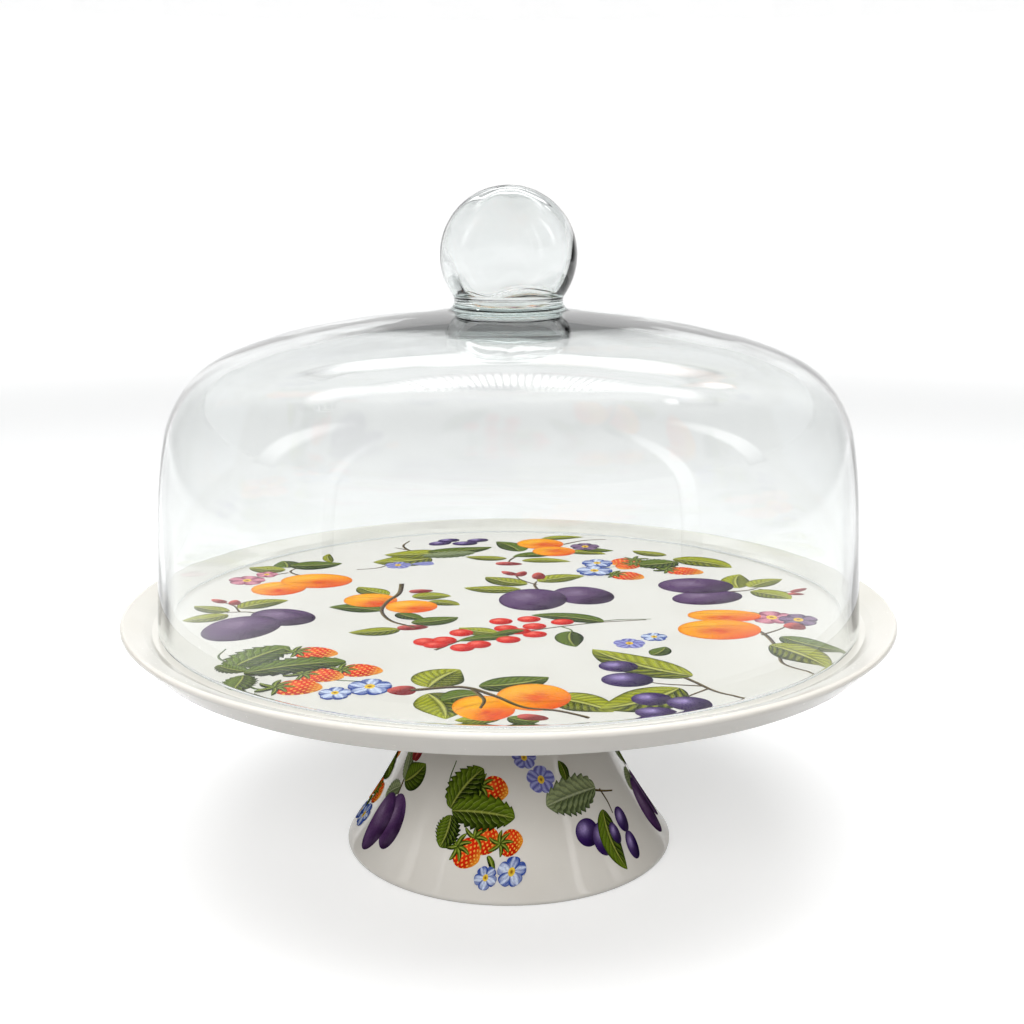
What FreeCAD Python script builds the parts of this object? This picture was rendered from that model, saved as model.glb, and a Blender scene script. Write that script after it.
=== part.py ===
"""Cake stand with a lift-off blown glass dome.

All sizes are millimetres. +Z is up, the stand's axis is Z, and the origin is the centre of the
circle on which the foot stands. Every piece is turned: its outline is drawn in the X-Z plane, where
X is the radius, and revolved about Z.
"""

import FreeCAD, Part
import math
import os

# Plate
PLATE_RADIUS = 152.5
PLATE_BOTTOM = 90.5          # height of the flat underside
WELL_TOP = 97.0              # height of the flat well that carries the cake and the dome
WELL_RADIUS = 140.5
STEP_RISE = 1.1              # small step from the well up to the rim
STEP_WIDTH = 2.4
LIP_HEIGHT = 100.9           # top of the lip
LIP_ROUND = 1.3              # radius of the rounded lip
BEVEL_SLOPE = 46.0           # degrees, of the sloping edge under the rim

# Pedestal
FOOT_RADIUS = 66.7
FOOT_EDGE_ROUND = 1.4        # rounded outer edge of the standing ring
FOOT_LEAN = 36.7             # degrees from upright, of the wall just above the floor
FOOT_CURVE = 240.0           # radius of the long hollow curve of the wall
WAIST_LEAN = 18.0            # degrees from upright where the long curve ends
THROAT_CURVE = 16.0          # radius of the tight curve that opens out under the plate
FOOT_WALL = 5.2
STANDING_RING = 5.0          # width of the flat ring that touches the floor

# Bonding ring between the pedestal's top and the plate
BOND_HEIGHT = 0.6
BOND_INSET = 0.6             # the ring stops short of the pedestal's edges by this much

# Dome: its outer outline is a crown, a haunch, a shoulder and a side, each a tangent arc
CROWN_TOP = 218.25
CROWN_CURVE, CROWN_END = 381.0, 12.8          # arc radius, and slope in degrees where it ends
HAUNCH_CURVE, HAUNCH_END = 146.3, 22.8
SHOULDER_CURVE, SHOULDER_END = 40.6, 78.6
SIDE_CURVE, SIDE_END = 180.0, 87.2
DOME_WALL = 2.1              # glass thickness in the side and shoulder
DOME_FOOT_WALL = 3.0         # glass thickness at the bottom edge
DOME_FOOT_FADE = 24.0        # height over which the bottom edge thins out
DOME_CROWN_WALL = 3.4        # glass thickness at the crown
DOME_CROWN_FADE = 50.0       # radius over which the crown thins out
DOME_EDGE_ROUND = 1.3        # fire-polished corners of the bottom edge
INNER_POINTS = 6             # points of an inner outline beside each arc of the outer one

# Knob
BALL_RADIUS = 26.5
BALL_CENTRE = 238.4
KNOB_WALL = 3.4
NECK_RADIUS = 21.2
NECK_BLEND = 3.0             # radius of the hollow curve between the neck and the ball
NECK_FLARE = 3.4             # radius of the hollow curve that spreads the neck over the crown
NECK_FLARE_EDGE = 0.4        # height of the flare's upright edge
KNOB_SEAT_RADIUS = 26.0      # flat spot on the crown that the neck stands on

# Glass lens under the crown
GATHER_RADIUS = 23.6
GATHER_EDGE = 5.0            # height of its upright edge
GATHER_CURVE = 80.0          # radius of its bulging underside
GATHER_SEAT_RADIUS = 24.4    # flat spot inside the crown


class Pen:
    """Draws an outline in the X-Z plane as a chain of lines and tangent arcs."""

    def __init__(self, radius, height, heading=0.0):
        self.start = FreeCAD.Vector(radius, 0, height)
        self.here = self.start
        self.heading = heading
        self.edges = []
        self.trail = []              # (point, heading) along the curves drawn so far

    def line_to(self, radius, height):
        """Draws a straight line and turns the heading along it."""
        there = FreeCAD.Vector(radius, 0, height)
        self.edges.append(Part.LineSegment(self.here, there).toShape())
        run = there - self.here
        self.heading = math.degrees(math.atan2(run.z, run.x))
        for k in range(1, INNER_POINTS + 1):
            self.trail.append((self.here + run * (k / INNER_POINTS), self.heading))
        self.here = there

    def point_on_turn(self, curve, degrees):
        """The point reached by turning with this radius; positive degrees turn left."""
        side = math.copysign(1.0, degrees)
        start = math.radians(self.heading)
        end = math.radians(self.heading + degrees)
        return self.here + FreeCAD.Vector(
            side * curve * (math.sin(end) - math.sin(start)),
            0,
            side * curve * (math.cos(start) - math.cos(end)),
        )

    def turn(self, curve, degrees):
        """Draws an arc of this radius; positive degrees turn left."""
        middle = self.point_on_turn(curve, degrees / 2)
        there = self.point_on_turn(curve, degrees)
        for k in range(1, INNER_POINTS + 1):
            part = degrees * k / INNER_POINTS
            self.trail.append((self.point_on_turn(curve, part), self.heading + part))
        self.edges.append(Part.Arc(self.here, middle, there).toShape())
        self.here = there
        self.heading += degrees

    def spline_through(self, points):
        """Draws one smooth curve from here through the points."""
        curve = Part.BSplineCurve()
        curve.interpolate([self.here] + points)
        self.edges.append(curve.toShape())
        self.here = points[-1]

    def revolved(self):
        """Closes the outline and turns it about Z into a solid."""
        self.line_to(self.start.x, self.start.z)
        face = Part.Face(Part.Wire(self.edges))
        turned = face.revolve(FreeCAD.Vector(0, 0, 0), FreeCAD.Vector(0, 0, 1), 360)
        return turned.Solids[0]


def beside(trail, wall_at, side):
    """Points one wall thickness to the left (side 1) or right (side -1) of a trail."""
    points = []
    for point, heading in trail:
        across = math.radians(heading + 90 * side)
        step = FreeCAD.Vector(math.cos(across), 0, math.sin(across))
        points.append(point + step * wall_at(point))
    return points


def make_plate():
    """Flat well, small step, gently rising rim, rounded lip and a sloping edge underneath."""
    slope = math.radians(BEVEL_SLOPE)
    lip_centre_r = PLATE_RADIUS - LIP_ROUND
    lip_centre_z = LIP_HEIGHT - LIP_ROUND
    step_end_r = WELL_RADIUS + STEP_WIDTH
    step_end_z = WELL_TOP + STEP_RISE
    rim_slope = math.atan2(LIP_HEIGHT - step_end_z, lip_centre_r - step_end_r)
    edge_r = lip_centre_r + LIP_ROUND * math.sin(slope)
    edge_z = lip_centre_z - LIP_ROUND * math.cos(slope)
    pen = Pen(0, PLATE_BOTTOM)
    pen.line_to(edge_r - (edge_z - PLATE_BOTTOM) / math.tan(slope), PLATE_BOTTOM)
    pen.line_to(edge_r, edge_z)
    pen.turn(LIP_ROUND, 180 - BEVEL_SLOPE + math.degrees(rim_slope))
    pen.line_to(step_end_r, step_end_z)
    pen.line_to(WELL_RADIUS, WELL_TOP)
    pen.line_to(0, WELL_TOP)
    return pen.revolved()


def pedestal_outline():
    """The pedestal's outer side, from its standing ring up to its top edge."""
    top = PLATE_BOTTOM - BOND_HEIGHT
    pen = Pen(FOOT_RADIUS - FOOT_EDGE_ROUND, 0)
    pen.turn(FOOT_EDGE_ROUND, 90 + FOOT_LEAN)
    pen.turn(FOOT_CURVE, WAIST_LEAN - FOOT_LEAN)
    sine = (top - pen.here.z) / THROAT_CURVE - math.sin(math.radians(WAIST_LEAN))
    pen.turn(THROAT_CURVE, -WAIST_LEAN - math.degrees(math.asin(sine)))
    return pen


def pedestal_bore():
    """Radius of the upright bore inside the pedestal's neck."""
    narrowest = min(point.x for point, _ in pedestal_outline().trail)
    return narrowest - FOOT_WALL


def make_pedestal():
    """Hollow flared foot: its inside follows its outside up to the neck, then runs straight up."""
    pen = pedestal_outline()
    outer_edge = pen.here
    bore = pedestal_bore()
    ring_edge = FreeCAD.Vector(FOOT_RADIUS - FOOT_EDGE_ROUND - STANDING_RING, 0, 0)
    inside = [
        point
        for point in beside(pen.trail[INNER_POINTS:2 * INNER_POINTS], lambda _: FOOT_WALL, 1)
        if point.x > bore
    ]
    pen.line_to(bore, outer_edge.z)
    pen.line_to(bore, inside[-1].z + FOOT_WALL)
    pen.spline_through(inside[::-1] + [ring_edge])
    return pen.revolved()


def make_bond_ring():
    """Flat ring of bonding slip between the pedestal's top face and the plate."""
    inner = pedestal_bore() + BOND_INSET
    outer = pedestal_outline().here.x - BOND_INSET
    pen = Pen(inner, PLATE_BOTTOM - BOND_HEIGHT)
    pen.line_to(outer, PLATE_BOTTOM - BOND_HEIGHT)
    pen.line_to(outer, PLATE_BOTTOM)
    pen.line_to(inner, PLATE_BOTTOM)
    return pen.revolved()


def knob_seat():
    """Height of the flat spot on the crown, and the crown's slope in degrees at its edge."""
    slope = math.asin(KNOB_SEAT_RADIUS / CROWN_CURVE)
    return CROWN_TOP - CROWN_CURVE * (1 - math.cos(slope)), math.degrees(slope)


def dome_outline():
    """The dome's outer side, from the flat spot on its crown down to its bottom edge."""
    height, slope = knob_seat()
    pen = Pen(KNOB_SEAT_RADIUS, height, -slope)
    pen.turn(CROWN_CURVE, slope - CROWN_END)
    pen.turn(HAUNCH_CURVE, CROWN_END - HAUNCH_END)
    pen.turn(SHOULDER_CURVE, HAUNCH_END - SHOULDER_END)
    pen.turn(SIDE_CURVE, SHOULDER_END - SIDE_END)
    side = math.radians(SIDE_END)
    corner = WELL_TOP + DOME_EDGE_ROUND * (1 + math.cos(side))
    pen.line_to(pen.here.x + (pen.here.z - corner) / math.tan(side), corner)
    return pen


def dome_wall(point):
    """Glass thickness: thin in the side, thicker towards the bottom edge and the crown."""
    foot = math.exp(-(((point.z - WELL_TOP) / DOME_FOOT_FADE) ** 2))
    crown = math.exp(-((point.x / DOME_CROWN_FADE) ** 2))
    extra = (DOME_FOOT_WALL - DOME_WALL) * foot + (DOME_CROWN_WALL - DOME_WALL) * crown
    return DOME_WALL + extra


def dome_ceiling():
    """Height of the flat spot inside the crown."""
    return CROWN_TOP - DOME_CROWN_WALL - GATHER_SEAT_RADIUS ** 2 / CROWN_CURVE / 2


def make_dome():
    """Blown cover: tangent arcs outside, a smooth inner outline, and a rounded bottom edge."""
    pen = dome_outline()
    inside = beside(pen.trail, dome_wall, -1)
    foot = pen.here
    pen.turn(DOME_EDGE_ROUND, -180 + SIDE_END)
    inner_foot = foot.x - dome_wall(foot)
    pen.line_to(inner_foot + DOME_EDGE_ROUND, WELL_TOP)
    pen.turn(DOME_EDGE_ROUND, -90)
    seat_edge = FreeCAD.Vector(GATHER_SEAT_RADIUS, 0, dome_ceiling())
    pen.spline_through(inside[-2::-1] + [seat_edge])
    pen.line_to(0, dome_ceiling())
    pen.line_to(0, pen.start.z)
    return pen.revolved()


def make_knob():
    """Hollow blown ball on a short neck that flares over the crown; it is open underneath."""
    seat, _ = knob_seat()
    # the hollow curve between neck and ball touches the ball this many degrees below its middle
    below = math.acos((NECK_RADIUS + NECK_BLEND) / (BALL_RADIUS + NECK_BLEND))
    neck_top = BALL_CENTRE - (BALL_RADIUS + NECK_BLEND) * math.sin(below)
    flare_edge = NECK_RADIUS + NECK_FLARE
    bore = NECK_RADIUS - KNOB_WALL
    hollow = BALL_RADIUS - KNOB_WALL
    pen = Pen(bore, seat)
    pen.line_to(flare_edge, seat)
    pen.line_to(flare_edge, seat + NECK_FLARE_EDGE)
    pen.heading = 180
    pen.turn(NECK_FLARE, -90)
    pen.line_to(NECK_RADIUS, neck_top)
    pen.turn(NECK_BLEND, -math.degrees(below))
    pen.turn(BALL_RADIUS, 90 + math.degrees(below))
    pen.line_to(0, BALL_CENTRE + hollow)
    pen.heading = 0
    pen.turn(hollow, -90 - math.degrees(math.acos(bore / hollow)))
    return pen.revolved()


def make_knob_gather():
    """Lens of glass under the crown: a flat top, a short upright edge and a bulging underside."""
    bulge = math.degrees(math.asin(GATHER_RADIUS / GATHER_CURVE))
    pen = Pen(0, dome_ceiling())
    pen.line_to(GATHER_RADIUS, dome_ceiling())
    pen.line_to(GATHER_RADIUS, dome_ceiling() - GATHER_EDGE)
    pen.heading = 180 + bulge
    pen.turn(GATHER_CURVE, -bulge)
    return pen.revolved()


PIECES = {
    "plate": make_plate,
    "pedestal": make_pedestal,
    "bond_ring": make_bond_ring,
    "dome": make_dome,
    "knob": make_knob,
    "knob_gather": make_knob_gather,
}


def main():
    """Builds every piece and writes one file for each."""
    os.makedirs("parts", exist_ok=True)
    for name, make in PIECES.items():
        piece = make()
        piece.exportStep(f"parts/{name}.step")
        box = piece.optimalBoundingBox()
        print(
            f"{name}: {piece.Volume / 1000:.1f} cm3, valid {piece.isValid()}, "
            f"radius {box.XMax:.2f}, height {box.ZMin:.2f} to {box.ZMax:.2f}"
        )


if __name__ == "__main__":
    main()
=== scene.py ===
import logging
import math
from collections.abc import Callable, Sequence
from dataclasses import dataclass, field
from enum import Enum

import bpy
import numpy as np
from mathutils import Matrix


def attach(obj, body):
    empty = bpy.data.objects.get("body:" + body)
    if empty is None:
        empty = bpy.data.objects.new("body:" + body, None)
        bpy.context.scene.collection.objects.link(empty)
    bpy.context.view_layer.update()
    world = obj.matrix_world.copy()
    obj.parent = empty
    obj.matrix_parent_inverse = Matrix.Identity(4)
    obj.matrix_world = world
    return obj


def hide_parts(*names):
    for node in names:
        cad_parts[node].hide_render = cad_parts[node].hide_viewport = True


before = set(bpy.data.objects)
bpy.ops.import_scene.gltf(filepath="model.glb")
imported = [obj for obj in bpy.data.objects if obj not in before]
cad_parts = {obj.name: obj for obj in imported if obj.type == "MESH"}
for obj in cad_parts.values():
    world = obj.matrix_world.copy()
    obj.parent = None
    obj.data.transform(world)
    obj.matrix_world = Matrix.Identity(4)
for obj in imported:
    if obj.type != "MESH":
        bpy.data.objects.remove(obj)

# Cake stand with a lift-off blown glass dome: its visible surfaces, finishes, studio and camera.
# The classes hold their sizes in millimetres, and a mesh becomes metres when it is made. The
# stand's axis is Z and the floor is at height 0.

LOG = logging.getLogger("cake_stand")
MM = 0.001
BLACK = (0.0, 0.0, 0.0)
SIDES = 240
VEINS = 8.5          # side veins along a leaf
VEIN_SLANT = 2.1     # how many of them a side vein passes on its way to the edge

Colour = tuple[float, float, float]
Ripple = Callable[[np.ndarray, np.ndarray], np.ndarray]


# ---------------------------------------------------------------- shapes

@dataclass
class Trace:
    """An outline in the (radius, height) plane, drawn as runs and arcs, material on the left.

    Args:
        radius: where it starts, from the axis.
        height: where it starts, above the floor.
        heading: direction of travel in degrees, 0 outwards and 90 up.
    """

    radius: float
    height: float
    heading: float = 0.0
    points: list[np.ndarray] = field(default_factory=list)
    headings: list[np.ndarray] = field(default_factory=list)

    def __post_init__(self) -> None:
        """Keeps the starting point."""
        self.points.append(np.array([[self.radius, self.height]]))
        self.headings.append(np.array([self.heading]))

    def run_to(self, radius: float, height: float, count: int = 1) -> "Trace":
        """Draws a straight run: the start plus k/count of the way, for k from 1 to count.

        Args:
            radius: where the run ends.
            height: where the run ends.
            count: how many points it gets.

        Returns:
            The trace itself.
        """
        share = np.linspace(0.0, 1.0, count + 1)[1:, None]
        here = self.points[-1][-1]
        there = np.array([radius, height])
        self.heading = math.degrees(math.atan2(*(there - here)[::-1]))
        self.points.append(here + share * (there - here))
        self.headings.append(np.full(count, self.heading))
        return self

    def turn(self, curve: float, degrees: float, count: int = 8) -> "Trace":
        """Draws an arc: the centre lies one curve to the side, and the point swings round it.

        Args:
            curve: the arc's radius.
            degrees: how far it turns, positive to the left.
            count: how many points it gets.

        Returns:
            The trace itself.
        """
        side = math.copysign(1.0, degrees)
        here = self.points[-1][-1]
        start = math.radians(self.heading)
        swept = start + np.radians(degrees) * np.linspace(0.0, 1.0, count + 1)[1:]
        offset = np.stack([np.sin(swept) - math.sin(start), math.cos(start) - np.cos(swept)], 1)
        self.points.append(here + side * curve * offset)
        self.headings.append(np.degrees(swept))
        self.heading += degrees
        return self

    def outline(self) -> np.ndarray:
        """All points so far, as rows of radius and height."""
        return np.concatenate(self.points)

    def beside(self, gap: Callable[[np.ndarray], np.ndarray], side: int) -> np.ndarray:
        """A second outline: each point moved square to its heading by the gap there.

        Args:
            gap: gives the distance for every point.
            side: 1 for the left of the trace, -1 for the right.

        Returns:
            Rows of radius and height.
        """
        points = self.outline()
        aim = np.radians(np.concatenate(self.headings))
        left = np.stack([-np.sin(aim), np.cos(aim)], 1)
        return points + side * gap(points)[:, None] * left


@dataclass
class Surface:
    """Points and faces of one closed surface, in millimetres.

    Args:
        points: rows of x, y, z.
        quads: rows of four point numbers, counterclockwise from outside.
        tris: rows of three point numbers, the same way round.
        uv: a pattern place for each point, or None.
        paint: a linear colour for each point, or None.
        pattern: strengths of veins, seeds and bloom for each point, or None.
    """

    points: np.ndarray
    quads: np.ndarray
    tris: np.ndarray
    uv: np.ndarray | None = None
    paint: np.ndarray | None = None
    pattern: np.ndarray | None = None


def joined(parts: Sequence[Surface]) -> Surface:
    """Puts several surfaces in one, their point numbers moved up past those before.

    Args:
        parts: the surfaces, all with the same kinds of data.

    Returns:
        One surface.
    """
    starts = np.cumsum([0] + [len(p.points) for p in parts[:-1]])
    return Surface(
        np.concatenate([p.points for p in parts]),
        np.concatenate([p.quads + s for p, s in zip(parts, starts)]),
        np.concatenate([p.tris + s for p, s in zip(parts, starts)]),
        None if parts[0].uv is None else np.concatenate([p.uv for p in parts]),
        None if parts[0].paint is None else np.concatenate([p.paint for p in parts]),
        None if parts[0].pattern is None else np.concatenate([p.pattern for p in parts]),
    )


def turned(outline: np.ndarray, ripple: Ripple | None = None, sides: int = SIDES) -> Surface:
    """Revolves an outline about the axis: x = r cos a, y = r sin a, with r moved out by the ripple.

    An end of the outline that is on the axis becomes a pole with a fan of triangles; an outline
    that touches the axis at neither end is joined to itself as a ring.

    Args:
        outline: rows of radius and height, the material on the left.
        ripple: gives how far each point moves outwards, for angle and point number from 0 to 1.
        sides: how many steps go round the axis.

    Returns:
        The closed surface.
    """
    ring = outline[0, 0] > 1e-6
    body = outline if ring else outline[1:-1]
    angle = np.linspace(0.0, 2 * np.pi, sides, endpoint=False)[:, None]
    along = np.linspace(0.0, 1.0, len(body))[None, :]
    radius = np.broadcast_to(body[None, :, 0], (sides, len(body)))
    if ripple is not None:
        radius = radius + ripple(angle, along)
    height = np.broadcast_to(body[None, :, 1], radius.shape)
    points = np.stack([radius * np.cos(angle), radius * np.sin(angle), height], 2).reshape(-1, 3)
    number = np.arange(sides * len(body)).reshape(sides, len(body))
    if ring:
        number = np.concatenate([number, number[:, :1]], 1)
    after = np.roll(number, -1, 0)
    quads = np.stack([number[:, :-1], after[:, :-1], after[:, 1:], number[:, 1:]], 2)
    quads = quads.reshape(-1, 4)
    tris = np.zeros((0, 3), int)
    if not ring:
        low, high = len(points), len(points) + 1
        points = np.concatenate([points, [[0, 0, outline[0, 1]], [0, 0, outline[-1, 1]]]])
        first, last = number[:, 0], number[:, -1]
        tris = np.concatenate([
            np.stack([np.full(sides, low), np.roll(first, -1), first], 1),
            np.stack([np.full(sides, high), last, np.roll(last, -1)], 1),
        ])
    return Surface(points, quads, tris)


def placed(name: str, data: bpy.types.ID) -> bpy.types.Object:
    """Makes an object of a mesh, a lamp or a camera and links it to the scene."""
    made = bpy.data.objects.new(name, data)
    bpy.context.scene.collection.objects.link(made)
    return made


def piece(name: str, surface: Surface, material: bpy.types.Material,
          body: str) -> bpy.types.Object:
    """Makes an object from a surface, smooth shaded, riding on a body.

    Args:
        name: the piece's name.
        surface: its points and faces in millimetres.
        material: its finish.
        body: the moving body that it belongs to.

    Returns:
        The new object, linked to the scene.
    """
    mesh = bpy.data.meshes.new(name)
    corners = np.concatenate([surface.quads.ravel(), surface.tris.ravel()])
    counts = np.concatenate([np.full(len(surface.quads), 4), np.full(len(surface.tris), 3)])
    mesh.vertices.add(len(surface.points))
    mesh.vertices.foreach_set("co", (surface.points * MM).astype(np.float32).ravel())
    mesh.loops.add(len(corners))
    mesh.loops.foreach_set("vertex_index", corners.astype(np.int32))
    mesh.polygons.add(len(counts))
    mesh.polygons.foreach_set(
        "loop_start", np.concatenate([[0], np.cumsum(counts)[:-1]]).astype(np.int32)
    )
    mesh.update(calc_edges=True)
    mesh.polygons.foreach_set("use_smooth", np.ones(len(counts), bool))
    if surface.uv is not None:
        layer = mesh.uv_layers.new(name="pattern")
        layer.data.foreach_set("uv", surface.uv[corners].astype(np.float32).ravel())
    for attribute, colours in (("paint", surface.paint), ("strength", surface.pattern)):
        if colours is not None:
            layer = mesh.color_attributes.new(name=attribute, type="FLOAT_COLOR", domain="POINT")
            rgba = np.concatenate([colours, np.ones((len(colours), 1))], 1)
            layer.data.foreach_set("color", rgba.astype(np.float32).ravel())
    mesh.validate()
    mesh.materials.append(material)
    made = placed(name, mesh)
    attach(made, body)
    LOG.info("%s: %d points, %d faces", name, len(surface.points), len(counts))
    return made


# ---------------------------------------------------------------- node groups and finishes

class Nodes:
    """A small hand for wiring a node tree.

    Args:
        tree: the node tree to fill.
    """

    def __init__(self, tree: bpy.types.NodeTree) -> None:
        """Keeps the tree."""
        self.tree = tree

    def add(self, kind: str, **settings: object) -> bpy.types.Node:
        """Adds a node and sets its properties.

        Args:
            kind: the node's type name.
            settings: properties by name.

        Returns:
            The node.
        """
        node = self.tree.nodes.new(kind)
        for name, value in settings.items():
            setattr(node, name, value)
        return node

    def put(self, source: object, target: bpy.types.NodeSocket) -> None:
        """Links a socket to a target, or sets a plain value on it."""
        if isinstance(source, bpy.types.NodeSocket):
            self.tree.links.new(source, target)
        else:
            target.default_value = source

    def maths(self, operation: str, a: object, b: object = 0.0, c: object = 0.0
              ) -> bpy.types.NodeSocket:
        """One sum of two or three numbers or sockets."""
        node = self.add("ShaderNodeMath", operation=operation)
        for socket, value in zip(node.inputs, (a, b, c)):
            self.put(value, socket)
        return node.outputs[0]

    def between(self, a: object, b: object, share: object) -> bpy.types.NodeSocket:
        """A colour between two colours by a share from 0 to 1."""
        node = self.add("ShaderNodeMix", data_type="RGBA")
        self.put(share, node.inputs[0])
        for socket, value in zip(node.inputs[6:8], (a, b)):
            self.put((*value, 1.0) if isinstance(value, tuple) else value, socket)
        return node.outputs[2]

    def ramp(self, value: object, low: float, high: float, start: float = 0.0, end: float = 1.0
             ) -> bpy.types.NodeSocket:
        """Maps a value from one span smoothly on to another."""
        node = self.add("ShaderNodeMapRange", interpolation_type="SMOOTHSTEP")
        for name, number in (
            ("From Min", low), ("From Max", high), ("To Min", start), ("To Max", end),
        ):
            node.inputs[name].default_value = number
        self.put(value, node.inputs["Value"])
        return node.outputs["Result"]

    def noise(self, place: bpy.types.NodeSocket, scale: float, detail: float = 3.0
              ) -> bpy.types.NodeSocket:
        """A soft random field from 0 to 1 at a place."""
        node = self.add("ShaderNodeTexNoise")
        node.inputs["Scale"].default_value = scale
        node.inputs["Detail"].default_value = detail
        self.put(place, node.inputs["Vector"])
        return node.outputs["Fac"]

    def split(self, vector: bpy.types.NodeSocket) -> tuple[bpy.types.NodeSocket, ...]:
        """The x, y and z of a vector."""
        node = self.add("ShaderNodeSeparateXYZ")
        self.put(vector, node.inputs[0])
        return tuple(node.outputs)

    def product(self, *factors: object) -> bpy.types.NodeSocket:
        """Two or more factors multiplied, from the first to the last."""
        value = factors[0]
        for factor in factors[1:]:
            value = self.maths("MULTIPLY", value, factor)
        return value

    def bump(self, height: bpy.types.NodeSocket, depth: float, shader: bpy.types.Node,
             strength: float = 1.0) -> None:
        """Bends a shader's face by a field of heights that is so many metres deep."""
        node = self.add("ShaderNodeBump")
        node.inputs["Distance"].default_value = depth
        node.inputs["Strength"].default_value = strength
        self.put(height, node.inputs["Height"])
        self.put(node.outputs["Normal"], shader.inputs["Normal"])

    def place(self) -> bpy.types.NodeSocket:
        """The object's own coordinates."""
        return self.add("ShaderNodeTexCoord").outputs["Object"]


def new_group(name: str, ins: dict[str, tuple[str, object]], outs: dict[str, str]
              ) -> tuple[bpy.types.NodeTree, Nodes, bpy.types.Node, bpy.types.Node]:
    """Starts a shader node group with named sockets.

    Args:
        name: the group's name.
        ins: socket kind and default for each input.
        outs: socket kind for each output.

    Returns:
        The group, a hand to wire it, its input node and its output node.
    """
    group = bpy.data.node_groups.new(name, "ShaderNodeTree")
    for label, (kind, default) in ins.items():
        socket = group.interface.new_socket(name=label, in_out="INPUT", socket_type=kind)
        if default is not None:
            socket.default_value = default
    for label, kind in outs.items():
        group.interface.new_socket(name=label, in_out="OUTPUT", socket_type=kind)
    hand = Nodes(group)
    return group, hand, hand.add("NodeGroupInput"), hand.add("NodeGroupOutput")


class Effects:
    """The shader node groups that several finishes share."""

    def __init__(self) -> None:
        """Builds every group once."""
        self.orange_peel = self._orange_peel()
        self.leaf_veins = self._leaf_veins()
        self.berry_seeds = self._berry_seeds()
        self.brush_grain = self._brush_grain()

    def _orange_peel(self) -> bpy.types.NodeTree:
        """Long soft waves and fine pits of a fired glaze, and a faint mottling of its colour."""
        group, hand, given, made = new_group(
            "glaze_orange_peel",
            {"Place": ("NodeSocketVector", None), "Waves": ("NodeSocketFloat", 30.0),
             "Pits": ("NodeSocketFloat", 900.0)},
            {"Height": "NodeSocketFloat", "Mottle": "NodeSocketFloat", "Haze": "NodeSocketFloat"},
        )
        place = given.outputs["Place"]
        fields = []
        for label in ("Waves", "Pits"):
            field_node = hand.add("ShaderNodeTexNoise")
            hand.put(place, field_node.inputs["Vector"])
            hand.put(given.outputs[label], field_node.inputs["Scale"])
            fields.append(field_node.outputs["Fac"])
        waves, pits = fields
        speck = hand.ramp(pits, 0.68, 0.76)
        hand.put(hand.maths("MULTIPLY_ADD", speck, -0.25, waves), made.inputs["Height"])
        hand.put(hand.ramp(waves, 0.3, 0.7), made.inputs["Mottle"])
        hand.put(hand.product(speck, 0.3), made.inputs["Haze"])
        return group

    def _leaf_veins(self) -> bpy.types.NodeTree:
        """Fine side veins that slant from a leaf's rib to its edge."""
        group, hand, given, made = new_group(
            "leaf_veins", {"Spread": ("NodeSocketVector", None)}, {"Mask": "NodeSocketFloat"})
        x, y, _ = hand.split(given.outputs["Spread"])
        off = hand.maths("ABSOLUTE", hand.maths("MULTIPLY_ADD", y, 2.0, -1.0))
        slant = hand.maths("MULTIPLY_ADD", off, -VEIN_SLANT, hand.product(x, VEINS))
        wave = hand.maths("ABSOLUTE", hand.maths("SINE", hand.product(slant, math.pi)))
        fine = hand.ramp(wave, 0.0, 0.22, 1.0, 0.0)
        hand.put(hand.product(fine, hand.ramp(off, 0.9, 0.6)), made.inputs["Mask"])
        return group

    def _berry_seeds(self) -> bpy.types.NodeTree:
        """Small seeds in slanting rows."""
        group, hand, given, made = new_group(
            "berry_seeds", {"Spread": ("NodeSocketVector", None)}, {"Mask": "NodeSocketFloat"})
        x, y, _ = hand.split(given.outputs["Spread"])
        slants = [hand.maths("MULTIPLY_ADD", x, 17.0, hand.product(y, turn))
                  for turn in (13.0, -13.0)]
        rows = hand.product(*[hand.maths("SINE", slant) for slant in slants])
        seeds = hand.ramp(hand.maths("ABSOLUTE", rows), 0.55, 0.9, 0.0, 0.75)
        hand.put(seeds, made.inputs["Mask"])
        return group

    def _brush_grain(self) -> bpy.types.NodeTree:
        """Uneven paint: fine streaks in lightness and a soft cloud."""
        group, hand, given, made = new_group(
            "brush_grain", {"Place": ("NodeSocketVector", None)},
            {"Value": "NodeSocketFloat", "Cloud": "NodeSocketFloat"})
        fine = hand.noise(given.outputs["Place"], 1500.0, 4.0)
        cloud = hand.noise(given.outputs["Place"], 160.0, 2.0)
        hand.put(hand.ramp(fine, 0.25, 0.75, 0.84, 1.16), made.inputs["Value"])
        hand.put(hand.ramp(cloud, 0.35, 0.7), made.inputs["Cloud"])
        return group

    @staticmethod
    def use(hand: Nodes, group: bpy.types.NodeTree, **values: object) -> bpy.types.Node:
        """Places a group in a material.

        Args:
            hand: the material's wiring hand.
            group: the group to place.
            values: a value or socket for each input, by name.

        Returns:
            The group node.
        """
        node = hand.add("ShaderNodeGroup")
        node.node_tree = group
        for name, value in values.items():
            hand.put(value, node.inputs[name])
        return node


def new_material(name: str) -> tuple[bpy.types.Material, Nodes, bpy.types.Node, bpy.types.Node]:
    """Starts a material with a Principled shader joined to its output.

    Args:
        name: the material's name.

    Returns:
        The material, its wiring hand, the shader and the output node.
    """
    material = bpy.data.materials.new(name)
    material.use_nodes = True
    hand = Nodes(material.node_tree)
    shader = next(n for n in material.node_tree.nodes if n.type == "BSDF_PRINCIPLED")
    output = next(n for n in material.node_tree.nodes if n.type == "OUTPUT_MATERIAL")
    return material, hand, shader, output


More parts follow.
